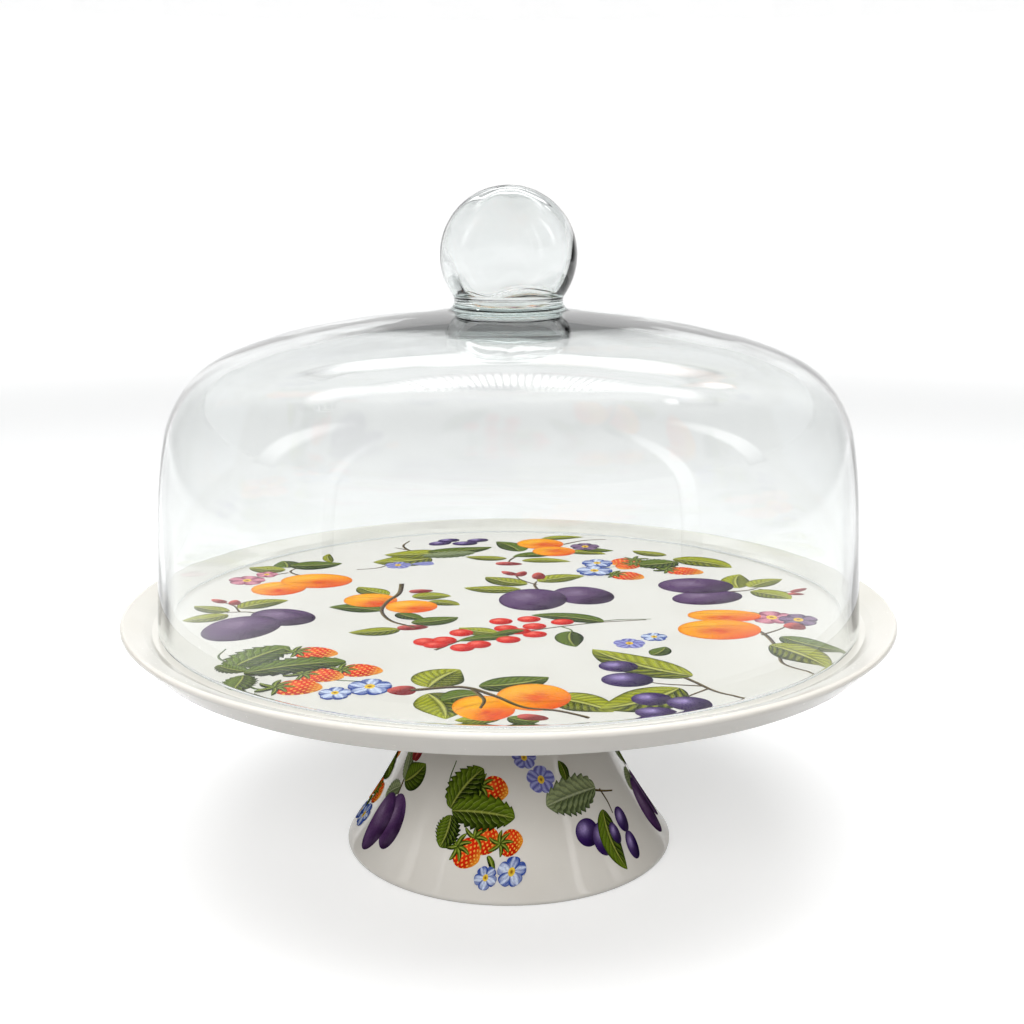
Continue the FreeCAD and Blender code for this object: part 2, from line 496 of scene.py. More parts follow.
@dataclass(frozen=True)
class Glaze:
    """Warm white fired glaze over fine china: glossy, with soft waves.

    Args:
        name: the material's name.
        white: the glaze's linear colour.
        shade: the colour where it pools.
        roughness: how dull the gloss is.
        wave_depth: height of the waves in metres.
    """

    name: str = "glaze_white"
    white: Colour = (0.82, 0.785, 0.726)
    shade: Colour = (0.795, 0.757, 0.693)
    roughness: float = 0.07
    wave_depth: float = 0.00022

    def make(self, effects: Effects) -> bpy.types.Material:
        """Wires the glaze: its colour mottles, its gloss hazes in pits, and its face waves."""
        material, hand, shader, _ = new_material(self.name)
        peel = effects.use(hand, effects.orange_peel, Place=hand.place())
        hand.put(hand.between(self.white, self.shade, peel.outputs["Mottle"]),
                 shader.inputs["Base Color"])
        hand.put(hand.maths("ADD", peel.outputs["Haze"], self.roughness),
                 shader.inputs["Roughness"])
        hand.bump(peel.outputs["Height"], self.wave_depth, shader, 0.5)
        shader.inputs["IOR"].default_value = 1.5
        return material


@dataclass(frozen=True)
class Slip:
    """Unglazed bonding slip: chalky, grainy and matt.

    Args:
        name: the material's name.
        pale: its linear colour.
        dark: the colour of its grains.
        grain_depth: height of the grains in metres.
    """

    name: str = "slip_bond"
    pale: Colour = (0.42, 0.40, 0.37)
    dark: Colour = (0.27, 0.255, 0.235)
    grain_depth: float = 0.0001

    def make(self) -> bpy.types.Material:
        """Wires the slip: fine grain in its colour and its face."""
        material, hand, shader, _ = new_material(self.name)
        grain = hand.noise(hand.place(), 2400.0, 5.0)
        hand.put(hand.between(self.pale, self.dark, hand.ramp(grain, 0.35, 0.7)),
                 shader.inputs["Base Color"])
        hand.put(hand.ramp(grain, 0.2, 0.8, 0.75, 0.95), shader.inputs["Roughness"])
        hand.bump(grain, self.grain_depth, shader)
        return material


@dataclass(frozen=True)
class BlownGlass:
    """Clear hand-blown glass: cords and a few seeds in it, and a grey-green body.

    Args:
        name: the material's name.
        tint: its linear colour at one pass through a face.
        body: colour that the thickness takes on.
        density: how fast it takes it on, per metre.
        cord_depth: height of the faint cords in metres.
        through: how much of a lamp's light the wall lets by.
    """

    name: str = "glass_blown"
    tint: Colour = (0.940, 0.946, 0.945)
    body: Colour = (0.44, 0.61, 0.58)
    density: float = 15.0
    cord_depth: float = 0.0006
    through: Colour = (0.95, 0.955, 0.955)

    def make(self) -> bpy.types.Material:
        """Wires the glass: cords bend its faces, and lamps shine through it without noise."""
        material, hand, shader, output = new_material(self.name)
        shader.inputs["Base Color"].default_value = (*self.tint, 1.0)
        shader.inputs["Roughness"].default_value = 0.0
        shader.inputs["IOR"].default_value = 1.5
        shader.inputs["Transmission Weight"].default_value = 1.0
        mapping = hand.add("ShaderNodeMapping")
        mapping.inputs["Scale"].default_value = (1.0, 1.0, 0.35)
        hand.put(hand.place(), mapping.inputs["Vector"])
        cords = hand.noise(mapping.outputs["Vector"], 22.0, 1.5)
        hand.bump(cords, self.cord_depth, shader, 0.6)
        volume = hand.add("ShaderNodeVolumeAbsorption")
        volume.inputs["Color"].default_value = (*self.body, 1.0)
        volume.inputs["Density"].default_value = self.density
        hand.put(volume.outputs[0], output.inputs["Volume"])
        clear = hand.add("ShaderNodeBsdfTransparent")
        clear.inputs["Color"].default_value = (*self.through, 1.0)
        path = hand.add("ShaderNodeLightPath")
        lamp = hand.maths("MAXIMUM", path.outputs["Is Shadow Ray"], path.outputs["Is Diffuse Ray"])
        mix = hand.add("ShaderNodeMixShader")
        hand.put(lamp, mix.inputs[0])
        hand.put(shader.outputs[0], mix.inputs[1])
        hand.put(clear.outputs[0], mix.inputs[2])
        hand.put(mix.outputs[0], output.inputs["Surface"])
        return material


# ---------------------------------------------------------------- the china stand

@dataclass
class ChinaStand:
    """The glazed plate and its pedestal, turned about the axis."""

    plate_radius: float = 152.5
    plate_bottom: float = 90.5
    well_top: float = 97.0
    well_radius: float = 140.5
    step_rise: float = 1.1
    step_width: float = 2.4
    lip_height: float = 100.9
    lip_round: float = 1.3
    bevel_slope: float = 46.0
    bevel_bend: float = 2.2
    rim_ease: float = 1.0
    rim_bend: float = 2.4
    well_bend: float = 0.7
    foot_radius: float = 66.7
    foot_edge_round: float = 1.4
    foot_lean: float = 36.7
    foot_curve: float = 240.0
    waist_lean: float = 18.0
    throat_curve: float = 16.0
    foot_wall: float = 5.2
    standing_ring: float = 5.0
    bond_height: float = 0.6

    # points on the pedestal's round, hollow curve and throat
    ROUND_STEPS, CURVE_STEPS, THROAT_STEPS = 8, 28, 10
    # the eased edges, as steps from the sharp corner: outer top, bore, and inside of the ring
    TOP_EDGE = ((-0.1, -0.25), (-0.5, 0.0))
    BORE_EDGE = ((0.8, 0.0), (0.2, -0.3), (0.0, -0.9))
    RING_EDGE = ((-0.4, 1.6), (-0.1, 0.4), (0.5, 0.0))

    def plate_outline(self) -> np.ndarray:
        """The plate: flat underneath, a sloping edge, a rounded lip, a rising rim and a well.

        Returns:
            Rows of radius and height from the axis below to the axis above.
        """
        lean = math.radians(self.bevel_slope)
        lip = (self.plate_radius - self.lip_round, self.lip_height - self.lip_round)
        # the sloping edge touches the lip's circle at its outer side
        edge = (lip[0] + self.lip_round * math.sin(lean), lip[1] - self.lip_round * math.cos(lean))
        corner = edge[0] - (edge[1] - self.plate_bottom) / math.tan(lean)
        cut = self.bevel_bend * math.tan(lean / 2)
        trace = Trace(0.0, self.plate_bottom, 0.0)
        trace.run_to(corner - cut, self.plate_bottom, 14)
        trace.turn(self.bevel_bend, self.bevel_slope, 6)
        trace.run_to(*edge, 3)
        inner = (self.well_radius + self.step_width, self.well_top + self.step_rise)
        fall = math.degrees(math.atan2(lip[1] + self.lip_round - inner[1], lip[0] - inner[0]))
        trace.turn(self.lip_round, 180 + fall - self.bevel_slope, 14)
        step_lean = math.degrees(math.atan2(self.step_rise, self.step_width))
        down = trace.points[-1][-1]
        slope = math.tan(math.radians(fall))
        near = inner[0] + self.rim_ease
        trace.run_to(near, down[1] - (down[0] - near) * slope, 5)
        trace.heading = 180 + fall
        trace.turn(self.rim_bend, step_lean - fall, 4)
        here = trace.points[-1][-1]
        steep = math.radians(step_lean)
        rest = here[1] - self.well_top - self.well_bend * (1 - math.cos(steep))
        trace.run_to(here[0] - rest / math.tan(steep), here[1] - rest, 2)
        trace.heading = 180 + step_lean
        trace.turn(self.well_bend, -step_lean, 4)
        trace.run_to(0.0, self.well_top, 16)
        return trace.outline()

    def pedestal_trace(self) -> Trace:
        """The pedestal's outside, from the standing ring up to the plate.

        Returns:
            The trace: a small round, a long hollow curve, and a tight curve under the plate.
        """
        top = self.plate_bottom - self.bond_height
        trace = Trace(self.foot_radius - self.foot_edge_round, 0.0, 0.0)
        trace.turn(self.foot_edge_round, 90 + self.foot_lean, self.ROUND_STEPS)
        trace.turn(self.foot_curve, self.waist_lean - self.foot_lean, self.CURVE_STEPS)
        climb = (top - trace.points[-1][-1, 1]) / self.throat_curve
        swing = math.degrees(math.asin(climb - math.sin(math.radians(self.waist_lean))))
        trace.turn(self.throat_curve, -self.waist_lean - swing, self.THROAT_STEPS)
        return trace

    def pedestal_outline(self) -> np.ndarray:
        """The hollow pedestal as a ring: outside, top face, upright bore, and inside wall.

        Returns:
            Rows of radius and height, walked once round the china.
        """
        trace = self.pedestal_trace()
        outside = trace.outline()
        bore = outside[:, 0].min() - self.foot_wall
        curve = slice(self.ROUND_STEPS + 1, self.ROUND_STEPS + self.CURVE_STEPS + 1)
        inside = trace.beside(lambda p: np.full(len(p), self.foot_wall), 1)[curve][::-1]
        inside = inside[inside[:, 0] > bore + 0.3]
        ring = self.foot_radius - self.foot_edge_round - self.standing_ring
        top = outside[-1]
        upright = np.linspace(top[1] - 4, inside[0, 1] + 3.0, 6)
        return np.concatenate([
            outside[:-1], top + self.TOP_EDGE, np.array([bore, top[1]]) + self.BORE_EDGE,
            np.stack([np.full(6, bore), upright], 1), inside[:-1],
            np.array([ring, 0.0]) + self.RING_EDGE,
        ])

    def wall_at(self, height: np.ndarray) -> tuple[np.ndarray, np.ndarray]:
        """Radius and outward lean of the pedestal's outside at a height.

        Args:
            height: heights above the floor.

        Returns:
            The radius there, and the wall's lean from upright in radians.
        """
        last = self.ROUND_STEPS + self.CURVE_STEPS + 2
        outside = self.pedestal_trace().outline()[self.ROUND_STEPS:last]
        radius = np.interp(height, outside[:, 1], outside[:, 0])
        lean = np.arctan2(-np.gradient(outside[:, 0]), np.gradient(outside[:, 1]))
        return radius, np.interp(height, outside[:, 1], lean)

    def build(self, glaze: bpy.types.Material) -> list[bpy.types.Object]:
        """Turns both pieces of china and puts them in place of their coarser nodes."""
        plate = piece("plate_china", turned(self.plate_outline(), sides=288), glaze,
                      "stand")
        foot = piece("pedestal_china", turned(self.pedestal_outline()), glaze, "stand")
        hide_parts("plate")
        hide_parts("pedestal")
        return [plate, foot]


# ---------------------------------------------------------------- the glass lid

@dataclass
class GlassLid:
    """The blown dome, its hollow ball knob and the thick lens between them, as one glass."""

    well_top: float = 97.0
    rest_gap: float = 0.15
    crown_top: float = 218.25
    crown: tuple[float, float] = (381.0, 12.8)
    haunch: tuple[float, float] = (146.3, 22.8)
    shoulder: tuple[float, float] = (40.6, 78.6)
    side: tuple[float, float] = (180.0, 87.2)
    wall: float = 2.1
    foot_wall: float = 3.0
    foot_fade: float = 24.0
    crown_wall: float = 3.4
    crown_fade: float = 50.0
    edge_round: float = 1.3
    ball_radius: float = 26.5
    ball_centre: float = 238.4
    knob_wall: float = 3.4
    neck_radius: float = 21.2
    neck_blend: float = 3.0
    neck_flare: float = 3.4
    gather_radius: float = 23.6
    gather_edge: float = 5.0
    gather_curve: float = 80.0
    gather_share: float = 0.97
    gather_round: float = 0.7
    gather_turn: float = 70.0
    seam_out: float = 0.6
    seam_drop: float = 0.25
    seam_clear: float = 1.6
    edge_clear: float = 0.6
    bubble_drop: float = 1.0
    bubble_sink: float = 0.6
    bubble_flare: float = 0.4
    bubble_round: float = 5.0
    bubble_turn: float = 78.0
    bubble_dish: float = 0.9

    def thickness(self, points: np.ndarray) -> np.ndarray:
        """Glass thickness: thin in the side, thicker towards the bottom edge and the crown."""
        foot = np.exp(-(((points[:, 1] - self.well_top) / self.foot_fade) ** 2))
        crown = np.exp(-((points[:, 0] / self.crown_fade) ** 2))
        return self.wall + (self.foot_wall - self.wall) * foot + (
            self.crown_wall - self.wall) * crown

    def outer_trace(self) -> Trace:
        """The dome's outside, from the neck's flare over the shoulder down to the bottom edge."""
        start = self.neck_radius + self.neck_flare
        slope = math.asin(start / self.crown[0])
        height = self.crown_top - self.crown[0] * (1 - math.cos(slope))
        trace = Trace(start, height, -math.degrees(slope))
        bend = math.degrees(slope)
        for (curve, end), count in zip(
            (self.crown, self.haunch, self.shoulder, self.side), (16, 14, 40, 34)
        ):
            trace.turn(curve, bend - end, count)
            bend = end
        lean = math.radians(bend)
        corner = self.well_top + self.rest_gap + self.edge_round * (1 + math.cos(lean))
        here = trace.points[-1][-1]
        trace.run_to(here[0] + (here[1] - corner) / math.tan(lean), corner, 20)
        return trace

    def knob_trace(self) -> Trace:
        """The knob's outside, from the flare on the crown up round the ball to its top."""
        below = math.acos(
            (self.neck_radius + self.neck_blend) / (self.ball_radius + self.neck_blend))
        neck_top = self.ball_centre - (self.ball_radius + self.neck_blend) * math.sin(below)
        start = self.outer_trace().points[0][0]
        trace = Trace(start[0], start[1], 180.0)
        trace.turn(self.neck_flare, -90, 10)
        trace.run_to(self.neck_radius, neck_top, 4)
        trace.turn(self.neck_blend, -math.degrees(below), 8)
        trace.turn(self.ball_radius, 90 + math.degrees(below), 64)
        return trace

    def outline(self) -> np.ndarray:
        """The whole lid: lens underside, inside wall, bottom edge, outside, neck and ball.

        Returns:
            Rows of radius and height from the axis under the lens to the axis on the ball.
        """
        outer = self.outer_trace()
        inside = outer.beside(self.thickness, -1)
        foot = outer.points[-1][-1]
        inner_foot = foot[0] - self.thickness(foot[None])[0]
        floor = self.well_top + self.rest_gap
        ceiling = self.crown_top - self.crown_wall - self.gather_radius ** 2 / self.crown[0] / 2
        bulge = math.asin(self.gather_radius / self.gather_curve)
        sag = self.gather_curve * (1 - math.cos(bulge))
        lens = Trace(0.0, ceiling - self.gather_edge - sag, 0.0)
        lens.turn(self.gather_curve, math.degrees(bulge) * self.gather_share, 26)
        lens.turn(self.gather_round, self.gather_turn, 5)
        lens.run_to(self.gather_radius + self.seam_out, ceiling - self.seam_drop, 1)
        edge = Trace(inner_foot, floor + self.edge_round, -90.0)
        edge.turn(self.edge_round, 90, 8)
        edge.run_to(foot[0] - self.edge_round, floor, 4)
        edge.turn(self.edge_round, 90, 8)
        wall = inside[(inside[:, 0] > self.gather_radius + self.seam_clear)
                      & (inside[:, 1] > floor + self.edge_round + self.edge_clear)]
        knob = self.knob_trace().outline()[1:]
        knob[-1, 0] = 0.0
        return np.concatenate([
            lens.outline(), wall, edge.outline(), outer.outline()[::-1][1:], knob])

    def hollow(self) -> np.ndarray:
        """The bubble in the knob, walked with the glass on its left: down from its top."""
        bore = self.neck_radius - self.knob_wall
        hollow = self.ball_radius - self.knob_wall
        sweep = 90 + math.degrees(math.acos(bore / hollow))
        trace = Trace(0.0, self.ball_centre + hollow, 0.0)
        trace.turn(hollow, -sweep, 60)
        here = trace.points[-1][-1]
        trace.run_to(bore, here[1] - self.bubble_drop, 1)
        base = self.crown_top - self.bubble_sink
        trace.run_to(bore + self.bubble_flare, base + self.bubble_round, 6)
        trace.heading = -90.0
        trace.turn(self.bubble_round, -self.bubble_turn, 12)
        trace.run_to(0.0, base + self.bubble_dish, 10)
        return trace.outline()

    @staticmethod
    def ripple(seed: int, size: float, hush_over: tuple[float, float]) -> Ripple:
        """Hand-blown unevenness: a sum of a few waves round the axis that drift along the outline.

        Args:
            seed: which waves.
            size: their joint height in millimetres.
            hush_over: how far from either end of the outline they die away.

        Returns:
            A function of angle and place along the outline.
        """
        dice = np.random.default_rng(seed)
        waves = [(n, dice.uniform(-9, 9), dice.uniform(0, 6.3), 1 / n ** 0.7) for n in range(2, 9)]

        def push(angle: np.ndarray, along: np.ndarray) -> np.ndarray:
            """The sum of waves, less near the ends of the outline."""
            first, last = hush_over
            hush = np.clip(along / first, 0, 1) * np.clip((1 - along) / last, 0, 1)
            total = sum(a * np.cos(n * angle + m * along + p) for n, m, p, a in waves)
            return size * hush * total

        return push

    def build(self, glass: bpy.types.Material) -> list[bpy.types.Object]:
        """Turns the lid and its bubble and puts them in place of the dome, knob and lens."""
        outline = self.outline()
        lid = turned(outline, self.ripple(7, 0.06, (0.2, 0.35)), 208)
        bubble = turned(self.hollow(), self.ripple(5, 0.75, (0.3, 0.6)), 144)
        made = piece("glass_lid", joined([lid, bubble]), glass, "lid")
        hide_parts("dome", "knob", "knob_gather")
        return [made]


# ---------------------------------------------------------------- fruit transfers

def mixed(*value: int) -> np.ndarray:
    """A paint given on a scale of 0 to 255, as a linear colour."""
    share = np.array(value) / 255
    return np.where(share <= 0.04045, share / 12.92, ((share + 0.055) / 1.055) ** 2.4)


def fade(a: np.ndarray, b: np.ndarray, share: np.ndarray) -> np.ndarray:
    """Colours between two colours, by a share for every point."""
    return a + (b - a) * np.clip(share, 0.0, 1.0)[..., None]


def soft(value: np.ndarray, low: float, high: float) -> np.ndarray:
    """Smooth step from 0 at low to 1 at high: x times x times (3 - 2x)."""
    x = np.clip((value - low) / (high - low), 0.0, 1.0)
    return x * x * (3 - 2 * x)


@dataclass
class Patch:
    """Where the points of one stroke lie, for the brush that paints them.

    Args:
        along: 0 at the stalk end and 1 at the tip.
        across: -1 on the right edge and 1 on the left one.
        x: place across the page within the stroke, -1 to 1.
        y: place up the page within the stroke, -1 to 1.
        lit: 1 if the left half faces the light, -1 if the right one does.
        dice: the sprig's own random numbers.
    """

    along: np.ndarray
    across: np.ndarray
    x: np.ndarray
    y: np.ndarray
    lit: float
    dice: np.random.Generator


class Brush:
    """Ways of painting a stroke; each gives a linear colour for every point of a patch."""

    @staticmethod
    def ball(p: Patch, deep: np.ndarray, body: np.ndarray, glow: np.ndarray, rim: np.ndarray,
             shine: float) -> np.ndarray:
        """A round fruit: darker low on the right, a soft light high on the left, a thin rim."""
        away = np.hypot(p.x, p.y)
        colour = fade(body, deep, soft(0.7 * p.x - 0.6 * p.y, -0.25, 1.0))
        light = np.exp(-((p.x + 0.3) ** 2 + (p.y - 0.28) ** 2) / 0.16)
        spark = np.exp(-((p.x + 0.12) ** 2 / 0.006 + (p.y - 0.38) ** 2 / 0.03))
        colour = fade(colour, glow, shine * light + 0.55 * shine * spark)
        return fade(colour, rim, 0.6 * soft(away, 0.9, 1.0))

    @classmethod
    def plum(cls, p: Patch) -> np.ndarray:
        """Violet plum with a dusty light and a cleft."""
        colour = cls.ball(p, mixed(30, 12, 36), mixed(84, 50, 98), mixed(150, 128, 156),
                          mixed(48, 28, 60), 0.55)
        cleft = np.exp(-(((p.across - 0.62) / 0.07) ** 2)) * soft(p.along, 0.04, 0.3)
        return fade(colour, mixed(48, 32, 66), 0.55 * cleft)

    @classmethod
    def damson(cls, p: Patch) -> np.ndarray:
        """Small dark damson with a bright light."""
        return cls.ball(p, mixed(20, 8, 44), mixed(52, 26, 88), mixed(172, 152, 208),
                        mixed(40, 24, 68), 0.8)

    @classmethod
    def apricot(cls, p: Patch) -> np.ndarray:
        """Yellow apricot with a red blush and a cleft."""
        colour = cls.ball(p, mixed(238, 112, 6), mixed(255, 166, 10), mixed(255, 208, 66),
                          mixed(230, 116, 10), 0.5)
        a, b = p.dice.uniform(-0.35, 0.35, 2)
        blush = np.exp(-(((p.x - a) / 0.5) ** 2 + ((p.y + 0.1 - b) / 0.42) ** 2))
        streak = 0.8 + 0.2 * np.sin(13 * p.x + 7 * p.y + 4 * np.sin(6 * p.y))
        colour = fade(colour, mixed(224, 44, 6), 1.0 * blush * streak)
        low = soft(p.y * -0.8 + p.x * 0.5, 0.35, 1.1)
        colour = fade(colour, mixed(230, 66, 8), 0.8 * low)
        cleft = np.exp(-(((p.across + 0.35) / 0.07) ** 2)) * soft(p.along, 0.02, 0.2)
        return fade(colour, mixed(196, 76, 18), 0.45 * cleft)

    @classmethod
    def berry(cls, p: Patch) -> np.ndarray:
        """Strawberry, red with an orange tip."""
        colour = cls.ball(p, mixed(176, 20, 6), mixed(226, 42, 14), mixed(255, 120, 50),
                          mixed(186, 30, 10), 0.45)
        return fade(colour, mixed(250, 168, 48), 0.75 * soft(p.along, 0.62, 1.05))

    @classmethod
    def currant(cls, p: Patch) -> np.ndarray:
        """Bright red currant."""
        return cls.ball(p, mixed(170, 12, 8), mixed(222, 32, 20), mixed(255, 140, 116),
                        mixed(184, 20, 14), 0.55)

    @staticmethod
    def foliage(p: Patch, dark: np.ndarray, pale: np.ndarray, rib: np.ndarray) -> np.ndarray:
        """A leaf: one half in the light, side veins that slant to the tip, and a pale rib."""
        side = soft(p.across * p.lit, -0.12, 0.12)
        mood = p.dice.uniform(-0.12, 0.12)
        colour = fade(dark, pale, 0.10 + 0.72 * side + mood)
        reach = np.abs(p.across)
        vein = np.sin((p.along * VEINS - reach * VEIN_SLANT) * 2 * np.pi)
        colour = colour * (1 + 0.38 * vein * soft(reach, 0.05, 0.3))[..., None]
        stripe = soft(vein, 0.0, 0.9) * soft(reach, 0.1, 0.35) * soft(reach, 0.95, 0.6)
        colour = fade(colour, pale * 1.15, 0.6 * stripe)
        colour = fade(colour, dark * 0.55, 0.75 * soft(reach, 0.8, 1.0))
        colour = fade(colour, dark * 0.5, 0.65 * np.exp(-(((reach - 0.13) / 0.07) ** 2)))
        colour = fade(colour, rib, 0.85 * np.exp(-((reach / 0.055) ** 2)))
        return fade(colour, pale * 1.15, 0.35 * soft(p.along, 0.75, 1.0))

    @classmethod
    def leaf(cls, p: Patch) -> np.ndarray:
        """Olive orchard leaf."""
        return cls.foliage(p, mixed(44, 56, 8), mixed(166, 170, 36), mixed(214, 212, 112))

    @classmethod
    def dusk_leaf(cls, p: Patch) -> np.ndarray:
        """Darker green leaf."""
        return cls.foliage(p, mixed(22, 36, 8), mixed(96, 118, 26), mixed(176, 184, 84))

    @classmethod
    def grey_leaf(cls, p: Patch) -> np.ndarray:
        """Leaf seen from its grey underside."""
        return cls.foliage(p, mixed(76, 90, 54), mixed(144, 154, 112), mixed(188, 194, 156))

    @staticmethod
    def blue_petal(p: Patch) -> np.ndarray:
        """White petal washed with blue from its edges."""
        wash = soft(np.abs(p.across) + 0.5 * p.along, 0.45, 1.35)
        wash = wash + 0.35 * np.sin(9 * p.across + 5 * p.along) + p.dice.uniform(-0.1, 0.45)
        return fade(mixed(214, 224, 244), mixed(52, 78, 158), wash)

    @staticmethod
    def violet_petal(p: Patch) -> np.ndarray:
        """Blue-violet petal."""
        wash = 0.5 + 0.5 * np.sin(7 * p.across + 4 * p.along)
        return fade(mixed(168, 170, 220), mixed(84, 82, 160), wash)

    @staticmethod
    def pink_petal(p: Patch) -> np.ndarray:
        """Dull pink petal, darker at its edges."""
        return fade(mixed(214, 138, 156), mixed(142, 62, 92), soft(np.abs(p.across), 0.2, 1.0))

    @staticmethod
    def mauve_petal(p: Patch) -> np.ndarray:
        """Grey-mauve petal."""
        return fade(mixed(132, 104, 138), mixed(78, 54, 84), soft(np.abs(p.across), 0.2, 1.0))

    @staticmethod
    def bud(p: Patch) -> np.ndarray:
        """Maroon bud with a lighter side."""
        return fade(mixed(128, 34, 40), mixed(206, 92, 84), soft(-p.x + p.y, -0.2, 1.0))

    @staticmethod
    def eye(p: Patch) -> np.ndarray:
        """Yellow heart of a flower with a brown middle."""
        return fade(mixed(150, 96, 24), mixed(240, 200, 64), soft(np.hypot(p.x, p.y), 0.2, 0.6))

    @staticmethod
    def twig(p: Patch) -> np.ndarray:
        """Brown twig, lit from above."""
        return fade(mixed(58, 44, 26), mixed(128, 112, 70), soft(p.across * p.lit, -0.4, 0.9))

    @staticmethod
    def stalk(p: Patch) -> np.ndarray:
        """Green stalk."""
        return fade(mixed(52, 72, 30), mixed(118, 138, 70), soft(p.across * p.lit, -0.4, 0.9))


class Shape(Enum):
    """How wide a stroke is along its length."""

    OVAL = "oval"
    LEAF = "leaf"
    SAW_LEAF = "saw_leaf"
    DROP = "drop"
    PETAL = "petal"
    STRIP = "strip"

    def width(self, s: np.ndarray) -> np.ndarray:
        """Share of the full width at each place: powers of s and 1 - s, scaled to reach 1.

        Args:
            s: places from 0 at the stalk end to 1 at the tip.

        Returns:
            The width there, from near 0 to 1.
        """
        if self is Shape.OVAL:
            wide = np.sqrt(np.clip(1 - (2 * s - 1) ** 2, 0, 1))
        elif self is Shape.STRIP:
            wide = 1.0 - 0.45 * s
        else:
            a, b = {"leaf": (0.62, 0.85), "saw_leaf": (0.55, 0.6), "drop": (0.42, 0.62),
                    "petal": (0.8, 0.4)}[self.value]
            peak = a / (a + b)
            wide = (s / peak) ** a * ((1 - s) / (1 - peak)) ** b
        if self is Shape.SAW_LEAF:
            wide = wide * (1 - 0.24 * ((s * 9.0) % 1.0))
        return np.maximum(wide, 0.03)


@dataclass(frozen=True)
class Kind:
    """One kind of painted stroke.

    Args:
        shape: its outline.
        brush: how it is painted.
        pattern: how strongly veins, seeds and bloom show on it, 0 to 1.
        steps: grid steps along and across.
        bow: how far its middle line bends to the left, as a share of its length.
    """

    shape: Shape
    brush: Callable[[Patch], np.ndarray]
    pattern: tuple[float, float, float] = (0.0, 0.0, 0.0)
    steps: tuple[int, int] = (20, 10)
    bow: float = 0.0


Place = tuple[float, float]
Mark = tuple["Stroke", float, tuple[Place, ...]]


class Stroke(Enum):
    """The kinds of stroke that the sprigs are painted with."""

    PLUM = Kind(Shape.OVAL, Brush.plum, (0, 0, 1.0), (30, 24))
    DAMSON = Kind(Shape.OVAL, Brush.damson, (0, 0, 0.6), (24, 18))
    APRICOT = Kind(Shape.OVAL, Brush.apricot, (0, 0, 0.3), (30, 24))
    BERRY = Kind(Shape.DROP, Brush.berry, (0, 1.0, 0), (24, 16))
    CURRANT = Kind(Shape.OVAL, Brush.currant, (0, 0, 0), (16, 12))
    LEAF = Kind(Shape.LEAF, Brush.leaf, (0.7, 0, 0), (72, 16), 0.08)
    DUSK_LEAF = Kind(Shape.LEAF, Brush.dusk_leaf, (0.7, 0, 0), (72, 16), -0.08)
    SAW_LEAF = Kind(Shape.SAW_LEAF, Brush.dusk_leaf, (1.0, 0, 0), (72, 20), 0.06)
    GREY_LEAF = Kind(Shape.SAW_LEAF, Brush.grey_leaf, (1.0, 0, 0), (72, 20), -0.05)
    BLUE_PETAL = Kind(Shape.PETAL, Brush.blue_petal, (0.2, 0, 0), (12, 10))
    VIOLET_PETAL = Kind(Shape.PETAL, Brush.violet_petal, (0.2, 0, 0), (12, 10))
    PINK_PETAL = Kind(Shape.PETAL, Brush.pink_petal, (0.2, 0, 0), (12, 8))
    MAUVE_PETAL = Kind(Shape.PETAL, Brush.mauve_petal, (0.2, 0, 0), (12, 8))
    BUD = Kind(Shape.DROP, Brush.bud, (0.2, 0, 0), (12, 8))
    EYE = Kind(Shape.OVAL, Brush.eye, (0, 0, 0), (12, 10))
    TWIG = Kind(Shape.STRIP, Brush.twig, (0, 0, 0.4), (30, 4))
    STALK = Kind(Shape.STRIP, Brush.stalk, (0, 0, 0.2), (24, 4))
    SEPAL = Kind(Shape.DROP, Brush.dusk_leaf, (0.2, 0, 0), (10, 6), 0.1)

    def __call__(self, width: float, *line: Place) -> Mark:
        """One stroke of this kind: its full width, and its middle line from stalk end to tip."""
        return (self, width, line)


def flower(kind: Stroke, at: Place, size: float, petals: int = 5, turn: float = 0.3
           ) -> list[Mark]:
    """Petals spread evenly round a heart.

    Args:
        kind: the petals' kind.
        at: the heart's place.
        size: a petal's length.
        petals: how many there are.
        turn: where the first one points, in radians.

    Returns:
        The petals' marks and the heart's.
    """
    rays = [turn + 2 * math.pi * k / petals for k in range(petals)]
    x, y = at
    made = [kind(size * 0.95, at, (x + size * math.cos(a), y + size * math.sin(a))) for a in rays]
    heart = size * 0.3
    return made + [Stroke.EYE(heart * 1.6, (x, y + heart), (x, y - heart))]


def crowned(kind: Stroke, width: float, top: Place, tip: Place) -> list[Mark]:
    """A berry with a small crown of green sepals at its stalk end.

    Args:
        kind: the berry's kind.
        width: its full width.
        top: its stalk end.
        tip: its far end.

    Returns:
        The marks.
    """
    x, y = top
    aim = math.atan2(tip[1] - y, tip[0] - x)
    reach = width * 0.5
    rays = [aim + a for a in (-1.5, -0.8, 0.0, 0.8, 1.5, 2.6, -2.6)]
    return [kind(width, top, tip)] + [
        Stroke.SEPAL(width * 0.16, top, (x + reach * math.cos(a), y + reach * math.sin(a)))
        for a in rays
    ]


S = Stroke           # a short name for the sprigs' lists


